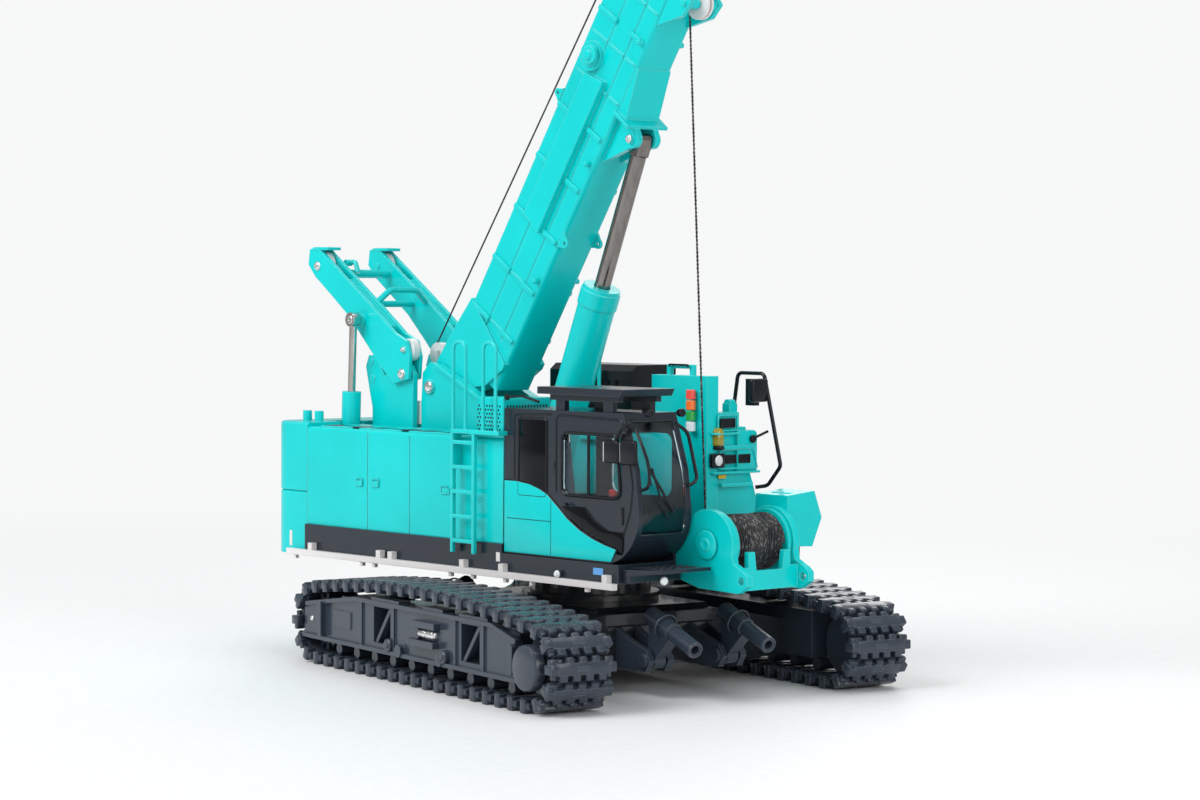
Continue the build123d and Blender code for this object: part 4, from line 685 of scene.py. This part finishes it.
def buildCabFront():
    # wipers, mirrors, lamps and the bent grab rails on the front pillars
    bars = [bentTube(*bar) for bar in cabBars.values()]
    bars.append(turned(((0, 0.5), (0.3, 0.75), (0.9, 0.75), (1.2, 0.4)), front["railFoot"], (0, 1, 0), 14))
    bars += [softBlock(low, high, 0.6, 3) for low, high in front["mirrors"]]
    # the mirror faces are pale lens plastic: a painted reflection in place of mirror glass
    glass = [softBlock(low, high, 0.1) for low, high in front["mirrorFaces"]]
    for lamp in cabLamps.values():
        for x, y, z in lamp["places"]:
            bars.append(turned(lamp["shell"], (x, y, z), (0, 1, 0)))
            glass.append(turned(lamp["glass"], (x, y + front["glassStep"], z), (0, 1, 0)))
    glass += [turned(((0, 1), (0.5, 0.95), (0.8, 0.6)), front["stepLamp"], (0, 1, 0)),
              turned(((0, 0.9), (0.4, 0.8), (0.7, 0.5)), front["sideLamp"], (1, 0, 0))]
    finishPiece(bars, "cabRailsMirrors", "blackPlastic")
    finishPiece(glass, "cabLenses", "lampWhite")
    finishPiece(bentTube(front["strip"], 0.55, 0), "cabBlueStrip", "blueTrim")
    finishPiece([turned(steps, place) for place, steps in knobSteps.items()], "cabKnobs", "redKnob")
    finishPiece(softBlock(*front["bluePlate"], 0.04, 1), "deckPlateBlue", "plateBlue")
    finishPiece(softBlock(*front["whitePlate"], 0.04, 1), "deckPlateWhite", "whitePlastic")


chequer = dict(low=(-0.42, -0.16, 0), high=(0.42, 0.16, 0.22), sunk=0.24)


def buildChequer():
    # raised pads on the cab step and the roof guard
    low, high = edges("cab_step")
    places = [((low[0] + 1.2 + 1.3 * column, low[1] + 1.4 + 1.15 * row, high[2] - chequer["sunk"]),
               (0, 0, 45 if (row + column) % 2 else -45))
              for row in range(int((high[1] - low[1] - 2) / 1.15))
              for column in range(int((high[0] - low[0] - 1.6) / 1.3))]
    low, high = edges("cab_roof_guard")
    places += [((low[0] + 1.6 + 1.3 * column, low[1] + 1.6 + 1.5 * row, high[2] - chequer["sunk"]),
                (0, 0, 90))
               for row in range(int((high[1] - low[1] - 2) / 1.5))
               for column in range(int((high[0] - low[0] - 2) / 1.3))]
    pads = copies(softBlock(chequer["low"], chequer["high"], 0.06, 1), places)
    finishPiece(pads, "chequerPads", "cabPlastic")


rope = dict(drum="front_drum_spin", coil=dict(radius=6.35, low=-7, high=8.4, turns=20, thick=0.42),
            strand=0.17, twist=0.13, lay=1.9, lead=(5.6, 46.2, 38.5))


def coil(axisPlace, radius, low, high, turns, thick):
    # rope laid turn by turn along a drum that lies across the machine
    x, y, z = axisPlace
    points = []
    for step in range(turns * 20 + 1):
        share, angle = step / (turns * 20), 2 * math.pi * step / 20
        points.append((x + low + (high - low) * share,
                       y + radius * math.cos(angle), z + radius * math.sin(angle)))
    return rawTube(points, thick)


def strandPair(start, end, apart, thick, lay):
    # two strands twisted round each other between two points
    first, last = Vector(start), Vector(end)
    along = (last - first).normalized()
    side = along.cross(Vector((1, 0, 0))).normalized()
    other = along.cross(side)
    steps = int((last - first).length / lay * 8)
    strands = []
    for phase in (0, math.pi):
        points = []
        for step in range(steps + 1):
            angle = phase + step * math.pi / 4
            points.append(first.lerp(last, step / steps)
                          + apart * (math.cos(angle) * side + math.sin(angle) * other))
        strands.append(rawTube(points, thick))
    return strands


boomLean = 56.9   # degrees above level, as the boom stands


def boomPoint(along, across, x=0):
    # a place in the boom's own axes: along it from the foot pin, and out of its back
    foot, turn = pinAt("boom_raise"), math.radians(boomLean)
    return Vector((x, foot[1] + along * math.cos(turn) - across * math.sin(turn),
                   foot[2] + along * math.sin(turn) + across * math.cos(turn)))


mainRope = dict(radius=4.8, low=-4.1, high=4.1, turns=11, thick=0.36)
ropeRun = dict(backStart=(4.2, 12.6), baseTip=(203, 4.6), step=4, drop=0.4, thick=0.22,
               head=((222, 1.5), (228.5, -14)))


def bentRope(obj, name, paintName):
    settle(obj)
    bpy.ops.object.shade_smooth_by_angle(angle=math.radians(60))
    obj.name = name
    dress(obj, paintName)
    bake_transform(obj)


def buildRopes():
    finishPiece(coil((0, *pinAt(rope["drum"])[1:]), **rope["coil"]), "frontRopeCoil", "ropeFlecked",
                body="front_drum", smoothAngle=60)
    finishPiece(coil((0, *pinAt("main_drum_spin")[1:]), **mainRope), "mainRopeCoil", "ropeBlack",
                body="main_drum", smoothAngle=60)
    low, high = edges("deflector_sheave")
    top = (0, low[1] - 0.1, (low[2] + high[2]) / 2)
    names = ("frontRopeDark", "ropeBlack"), ("frontRopeLight", "ropeFlecked")
    strands = strandPair(rope["lead"], top, rope["twist"], rope["strand"], rope["lay"])
    for strand, (name, finish) in zip(strands, names):
        bentRope(strand, name, finish)
    (along, across), step, drop, thick = (ropeRun[key] for key in ("baseTip", "step", "drop", "thick"))
    stops = [boomPoint(*ropeRun["backStart"])]
    stops += [boomPoint(along + step * index, across - drop * index) for index in range(4)]
    for index in range(4):
        first, last = stops[index:index + 2]
        bentRope(rawTube([first, last], thick, 8), "backRope%d" % (index + 1), "ropeBlack")
    head = [stops[-1], *(boomPoint(*place) for place in ropeRun["head"])]
    finishPiece(rawTube(head, thick, 8), "backRopeHead", "ropeBlack", body="boom_section_4")


tower = dict(face=29.5, grilles=((-20.3, -15.8, 61.8, 63.6), (-20.7, -16.9, 53, 54.7),
                                 (-25.6, -22.1, 53, 54.7)))


def grille(x0, x1, z0, z1, y, bars):
    # a dark pocket with slanting slats in a rim
    pieces = [softBlock((x0, y - 0.3, z0), (x1, y + 0.05, z1), 0.08)]
    step = (z1 - z0 - 0.4) / bars
    for index in range(bars):
        z = z0 + 0.2 + step * (index + 0.5)
        pieces.append(softBlock((x0 + 0.2, y - 0.1, z - step * 0.26), (x1 - 0.2, y + 0.25, z + step * 0.26),
                                0.06, 1))
    for low, high in (((x0 - 0.25, z0 - 0.25), (x1 + 0.25, z0)), ((x0 - 0.25, z1), (x1 + 0.25, z1 + 0.25)),
                      ((x0 - 0.25, z0), (x0, z1)), ((x1, z0), (x1 + 0.25, z1))):
        pieces.append(softBlock((low[0], y - 0.2, low[1]), (high[0], y + 0.3, high[1]), 0.06, 1))
    return joined(pieces)


def buildTower():
    y = tower["face"]
    grilles = [grille(*span, y, 4) for span in tower["grilles"]]
    finishPiece(grilles, "towerGrilles", "blackPlastic")
    frames = [bentTube([(-27, y, 56.2), (-15.6, y, 56.2), (-15, y, 51.6), (-28.4, y, 51.6)], 0.3, 0.8,
                       closed=True),
              bentTube([(-21.3, y, 60.9), (-14.8, y, 60.9), (-14.8, y, 64.6), (-21.3, y, 64.6)], 0.25, 0.8,
                       closed=True),
              softBlock((-21.6, y - 0.5, 59.9), (-12.6, y + 1, 60.4), 0.15),
              softBlock((-28.6, y - 0.5, 50.3), (-12.8, y + 1, 50.9), 0.15)]
    finishPiece(frames, "towerRims", "tealEnamel")
    black = [bentTube([(-12.2, 15, 76.2), (-12.2, 15, 76.75), (-12.2, 21.5, 76.75), (-12.2, 21.5, 76.2)],
                      0.28, 0.5),
             turned(((0, 0.9), (1.2, 1), (1.5, 0.7)), (-26.6, y - 0.6, 58.6), (0, 1, 0)),
             bentTube([(-26.6, y, 58.6), (-28.6, y + 0.5, 59.4), (-30.9, y + 1.2, 60.4)], 0.35, 0.6),
             softBlock((-30.9, y - 0.2, 67.6), (-25.2, y + 1.5, 73.4), 0.7, 3),
             softBlock((-29, y - 1.6, 69.2), (-26.6, y + 0.4, 72.2), 0.4),
             softBlock((-16.5, y - 0.3, 51.9), (-12.1, y + 0.9, 55.4), 0.3),
             turned(((0, 1.5), (0.6, 1.6), (0.9, 1.3)), (-15.1, y - 0.2, 56.3), (0, 0, 1))]
    finishPiece(black, "towerFittings", "blackPlastic")
    finishPiece(turned(((0, 1.25), (0.3, 1.3), (0.5, 1)), (-14.3, y + 0.6, 53.7), (0, 1, 0)),
                "towerWorkLens", "lampWhite")
    shoulder = plate(((-28.5, 50.9), (-28.5, 59.6), (-28.2, 60.4), (-27.4, 60.8), (-21.6, 60.8),
                      (-21.6, 50.9)), y - 8, 8, "y", 0.3)
    finishPiece(shoulder, "towerShoulder", "tealEnamel")
    stack = [turned(((0, 1), (0.15, 1.2), (2.1, 1.2), (2.35, 1)), (-10.35, 24.5, 60.7 + 2.6 * level))
             for level in range(4)]
    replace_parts(finishPiece(stack, "towerStack", "lampStack"), "tower_lamps")
    beacon = turned(((0, 1.55), (0.5, 1.7), (3.4, 1.6), (4.1, 1.2), (4.4, 0.5)), (-15.1, y - 0.6, 57.3))
    finishPiece(beacon, "towerBeacon", "amberLens")
    finishPiece(softBlock((-17.6, y - 0.2, 49.2), (-15, y + 0.12, 50.2), 0.04, 1),
                "towerPlate", "plateYellow")


winchFace = dict(bossSteps=((-0.6, 3.4), (-0.35, 3.4), (-0.25, 3.25), (-0.25, 1.5), (0, 1.35), (0, 0.9),
                            (-0.05, 0.8)))


def buildWinchDetails():
    high = edges("winch_frame")[1]
    pieces = [turned(winchFace["bossSteps"], (high[0] - 0.05, *pinAt(rope["drum"])[1:]), (1, 0, 0), 28)]
    motorLow, motorHigh = edges("winch_motor")
    middle = (motorLow[0] + motorHigh[0]) / 2
    pieces.append(softBlock((middle - 3.4, motorLow[1] + 2.4, motorHigh[2] - 0.9),
                            (middle + 3, motorHigh[1] - 2.4, motorHigh[2] - 0.35), 0.2))
    finishPiece(pieces, "winchBosses", "tealEnamel")


pinPlaces = dict(tip=(-95.1, 100.9), lowSheave=(-58.4, 79.2), rodEye=(-76.2, 86.8), barrelFoot=(-77.5, 47),
                 mastFace=12.25, rodFace=15.2, barrelFace=16.6, boomFace=9.3)


def buildPins():
    # bright pin ends where the mast, its cylinders and the boom turn
    fixed, mast, rods = [], [], []
    mastPin, boomPin = pinAt("mast_raise"), pinAt("boom_raise")
    for side in (1, -1):
        axis = (side, 0, 0)
        for place, radius in ((pinPlaces["tip"], 1.2), (pinPlaces["lowSheave"], 0.9), (mastPin[1:], 1.4)):
            mast.append(pinHead((side * pinPlaces["mastFace"], *place), radius, 0.8, axis))
        rods.append(pinHead((side * pinPlaces["rodFace"], *pinPlaces["rodEye"]), 1.5, 1.1, axis))
        fixed.append(pinHead((side * pinPlaces["barrelFace"], *pinPlaces["barrelFoot"]), 1.1, 0.8, axis))
        fixed.append(pinHead((side * pinPlaces["boomFace"], *boomPin[1:]), 1.6, 0.5, axis))
    for pieces, name, body in ((fixed, "deckPins", "superstructure"), (mast, "mastPins", "mast"),
                               (rods, "mastRodPins", "mast_rods")):
        finishPiece(pieces, name, "brightPin", body)


houseTop = dict(height=59.2, lidSpan=(14.6, 28), lids=((-73, -60), (-57, -40), (-37, -20)),
                vents=6, ventSpan=(22.5, 27.6), ventStart=-72, ventPitch=9.4, ventLength=5.2)


def buildHouse():
    # lids and dark vents on the two engine houses
    top = houseTop["height"]
    lids = [sideBlock(side, houseTop["lidSpan"], (y0, top - 0.3), (y1, top + 0.35))
            for side in (1, -1) for y0, y1 in houseTop["lids"]]
    vents = [houseTop["ventStart"] + houseTop["ventPitch"] * index for index in range(houseTop["vents"])]
    dark = [sideBlock(side, houseTop["ventSpan"], (y, top + 0.1), (y + houseTop["ventLength"], top + 0.42),
                      0.1) for side in (1, -1) for y in vents]
    finishPiece(lids, "houseLids", "tealEnamel")
    finishPiece(dark, "houseVents", "blackPlastic")


doorFittings = dict(latches=((-54.8, 45.9), (-48.2, 46), (-21, 45.7)), width=2.3, height=1.9, face=29.7)


def buildDoorFittings():
    # raised rims round the flush latches, and the blank plate on the lower counterweight
    frames, plates = [], []
    outer, half, tall = doorFittings["face"], doorFittings["width"] / 2, doorFittings["height"] / 2
    for side in (1, -1):
        for y, z in doorFittings["latches"]:
            frames.append(bentTube([(side * (outer - 0.05), y + a * half, z + b * tall)
                                    for a, b in ((-1, -1), (1, -1), (1, 1), (-1, 1), (-1, -1))], 0.16, 0.3))
        plates.append(sideBlock(side, (29.3, 29.42), (-84.5, 27.8), (-83.4, 31.8), 0.04, 1))
    finishPiece(frames, "latchRims", "tealEnamel")
    finishPiece(plates, "sidePlates", "whitePlastic")


hood = dict(rows=9, columns=17)


def buildHood():
    # rows of louvre pips on the black intake hood's top
    low, high = edges("intake_hood")
    places = [((low[0] + 2.5 + (high[0] - low[0] - 5) * (row + 0.5) / hood["rows"],
                low[1] + 2.0 + (high[1] - low[1] - 4) * (column + 0.5) / hood["columns"], high[2] - 0.18),)
              for row in range(hood["rows"]) for column in range(hood["columns"])]
    pips = copies(softBlock((-0.32, -0.42, 0), (0.32, 0.42, 0.16), 0.05, 1), places)
    finishPiece(pips, "hoodPips", "blackPlastic")


meshBox = dict(low=(14.2, -9.6, 59.2), high=(29.2, 0.8, 68.9), pitch=0.95)


def buildMeshBox():
    # the teal box of pierced sheet behind the cab, its holes as dark studs set just proud: painted shade for the
    # dark seen through them
    low, high = meshBox["low"], meshBox["high"]
    finishPiece(softBlock(low, high, 0.25), "meshBox", "tealEnamel")
    pitch, places = meshBox["pitch"], []
    for row in range(int((high[2] - low[2] - 1.6) / pitch)):
        z, shift = low[2] + 1.0 + pitch * row, row % 2 / 2
        places += [((high[0] - 0.01, low[1] + 0.9 + pitch * (column + shift), z), (0, 90, 0))
                   for column in range(int((high[1] - low[1] - 1.4) / pitch))]
        places += [((low[0] + 0.9 + pitch * (column + shift), high[1] - 0.01, z), (-90, 0, 0))
                   for column in range(int((high[0] - low[0] - 1.4) / pitch))]
    holes = copies(turned(((0, 0.3), (0.05, 0.28)), (0, 0, 0), (0, 0, 1), 8), places)
    finishPiece(holes, "meshHoles", "blackPlastic")


boomFittings = dict(
    side=6, boss=(101.3, -5), eyePin=(17.98, 131.27), clips=(44, 78, 112, 150, 176),
    bars=(26, 40.5, 55.5, 70.5, 85, 112, 126, 142, 160, 180),
    seamBars=((-15.4, (1.35, 1.2, 5.4)), (-3.6, (1.35, 1.2, 7.4))),
    clipSteps=((-0.6, 0.7), (0.7, 0.7), (0.95, 0.45)),
    bossSteps=((-0.4, 2.3), (0.1, 2.3), (0.35, 2), (0.35, 1.3), (0.9, 1.2), (1.05, 0.8)))


def boomBlock(along, across, side, size):
    # a rounded bar lying square to the boom, size as (out, along, across)
    bar = softBlock([-value / 2 for value in size], [value / 2 for value in size], 0.14)
    return moved(bar, boomPoint(along, across, side), (boomLean, 0, 0))


def buildBoomDetails():
    # raised seam bars, hose clips, the stepped telescope boss, and the lift cylinder's bright pin
    parts, pieces, pins = boomFittings, [], []
    for side in (1, -1):
        axis = (side, 0, 0)
        for along in parts["clips"]:
            pieces.append(turned(parts["clipSteps"], boomPoint(along, -17.4, side * 6.1), axis, 14))
        for along in parts["bars"]:
            pieces += [boomBlock(along, across, side * parts["side"], size)
                       for across, size in parts["seamBars"]]
        pieces.append(turned(parts["bossSteps"], boomPoint(*parts["boss"], side * 7.8), axis, 28))
        pins.append(pinHead((side * 4.6, *parts["eyePin"]), 1, 0.7, axis))
    finishPiece(pieces, "boomFittings", "tealEnamel", body="boom")
    finishPiece(pins, "liftPin", "brightPin", body="boom")


mastBrace = dict(corners=((8.2, -74.7, 91.4), (4.5, -74, 94.6), (-4.5, -74, 94.6), (-8.2, -74.7, 91.4)))


def buildMastDetails():
    # the bent cross brace, the lug on the upper cross tube and the caps over the tip sheaves
    pieces = [bentTube(mastBrace["corners"], 0.85, 1),
              bentTube([(5, -87, 99.2), (5, -88.4, 102.2), (5, -90.2, 101.8)], 0.7, 1),
              turned(((-0.9, 0.9), (0.9, 0.9)), (5, -90.2, 101.8), (1, 0, 0), 14)]
    pieces += [sideBlock(side, (7.8, 12.5), (-97.2, 105.1), (-90.8, 105.95), 0.2) for side in (1, -1)]
    finishPiece(pieces, "mastFittings", "tealEnamel", body="mast")


stages = {
    "track shoes": buildTracks, "frame details": buildFrameDetails, "jack rings": buildJackDetails,
    "cab side": buildCabSide, "cab front": buildCabFront, "chequer pads": buildChequer, "ropes": buildRopes,
    "tower details": buildTower, "winch details": buildWinchDetails, "pins": buildPins,
    "house details": buildHouse, "door fittings": buildDoorFittings, "hood pips": buildHood,
    "mesh box": buildMeshBox, "boom details": buildBoomDetails, "mast details": buildMastDetails}
for stage, build in stages.items():
    build()
    print(stage, "made")


# floor, lights and camera

studio = dict(floorRadius=3.0, floorColour=(0.80, 0.805, 0.81), backdrop=(0.93, 0.935, 0.94), ambient=0.50,
              fadeFrom=0.16, fadeTo=0.62, aim=(0, 0, 0.08),
              lens=89.11, place=(494.14 * mm, 540.77 * mm, 95.16 * mm), azimuth=137.413, pitch=2.139,
              roll=0.313)
lamps = (   # name, place, size, power, in metres and watts
    ("keyLight", (0.95, -0.25, 0.85), 0.9, 11.5),
    ("frontLight", (0.15, 1.10, 0.45), 0.8, 4.4),
    ("topLight", (-0.25, 0.05, 1.15), 0.9, 3.6),
    ("rearLight", (-0.90, -0.70, 0.60), 0.7, 2.4),
)


def mixShader(tree, factor, first, second):
    return addNode(tree, "ShaderNodeMixShader", None, factor, first.outputs[0], second.outputs[0]).outputs[0]


def buildFloor():
    choose()
    bpy.ops.mesh.primitive_circle_add(vertices=96, radius=studio["floorRadius"], fill_type="NGON")
    floor = bpy.context.object
    floor.name = "studioFloor"
    material, tree, shader = principled("floorPaper")
    place = objectPlace(tree)
    tone = spread(tree, noise(tree, place, 300.0, 4.0), 0.98, 1.02)
    feed(shader, Roughness=0.6,
         Base_Color=mixColour(tree, "MULTIPLY", 1.0, (*studio["floorColour"], 1), tone))
    # away from the object the paper is seen in the backdrop's own colour, so no horizon shows
    away = addNode(tree, "ShaderNodeVectorMath", {"operation": "LENGTH"}, place)
    fade = spread(tree, away.outputs["Value"], 0.0, 1.0, studio["fadeFrom"], studio["fadeTo"],
                  interpolation_type="SMOOTHSTEP")
    rays = addNode(tree, "ShaderNodeLightPath")
    seen = mathNode(tree, "MULTIPLY", fade, rays.outputs["Is Camera Ray"])
    glow = addNode(tree, "ShaderNodeEmission", Color=(*studio["backdrop"], 1), Strength=1.0)
    feed(tree.nodes["Material Output"], Surface=mixShader(tree, seen, shader, glow))
    floor.data.materials.append(material)


def buildWorld():
    world = bpy.data.worlds.new("studio")
    bpy.context.scene.world = world
    world.use_nodes = True
    tree = world.node_tree
    tree.nodes.clear()
    rays = addNode(tree, "ShaderNodeLightPath")
    seen = mathNode(tree, "MAXIMUM", rays.outputs["Is Camera Ray"], rays.outputs["Is Transmission Ray"])
    light, shown = (addNode(tree, "ShaderNodeBackground", Color=(*studio["backdrop"], 1), Strength=strength)
                    for strength in (studio["ambient"], 1.0))
    addNode(tree, "ShaderNodeOutputWorld", Surface=mixShader(tree, seen, light, shown))


def buildLights():
    for name, place, size, power in lamps:
        data = bpy.data.lights.new(name, "AREA")
        data.shape, data.size, data.energy = "DISK", size, power
        lamp = added(name, data)
        lamp.location = place
        lamp.rotation_euler = (Vector(place) - Vector(studio["aim"])).to_track_quat("Z", "Y").to_euler()


def buildCamera():
    turn, pitch, roll = (math.radians(studio[key]) for key in ("azimuth", "pitch", "roll"))
    back = Vector((math.sin(turn) * math.cos(pitch), -math.cos(turn) * math.cos(pitch), math.sin(pitch)))
    across = Vector((0, 0, 1)).cross(back).normalized()
    up = back.cross(across)
    right = math.cos(roll) * across + math.sin(roll) * up
    over = math.cos(roll) * up - math.sin(roll) * across
    data = bpy.data.cameras.new("camera")
    data.lens, data.sensor_width, data.sensor_fit = studio["lens"], 36.0, "HORIZONTAL"
    data.clip_start, data.clip_end = 0.01, 20.0
    camera = added("camera", data)
    facing = Matrix((right, over, back)).transposed().to_4x4()
    camera.matrix_world = Matrix.Translation(studio["place"]) @ facing
    bpy.context.scene.camera = camera


buildFloor()
buildWorld()
buildLights()
buildCamera()
bpy.context.scene.view_settings.view_transform = "Standard"
print("stage, lights and camera made")
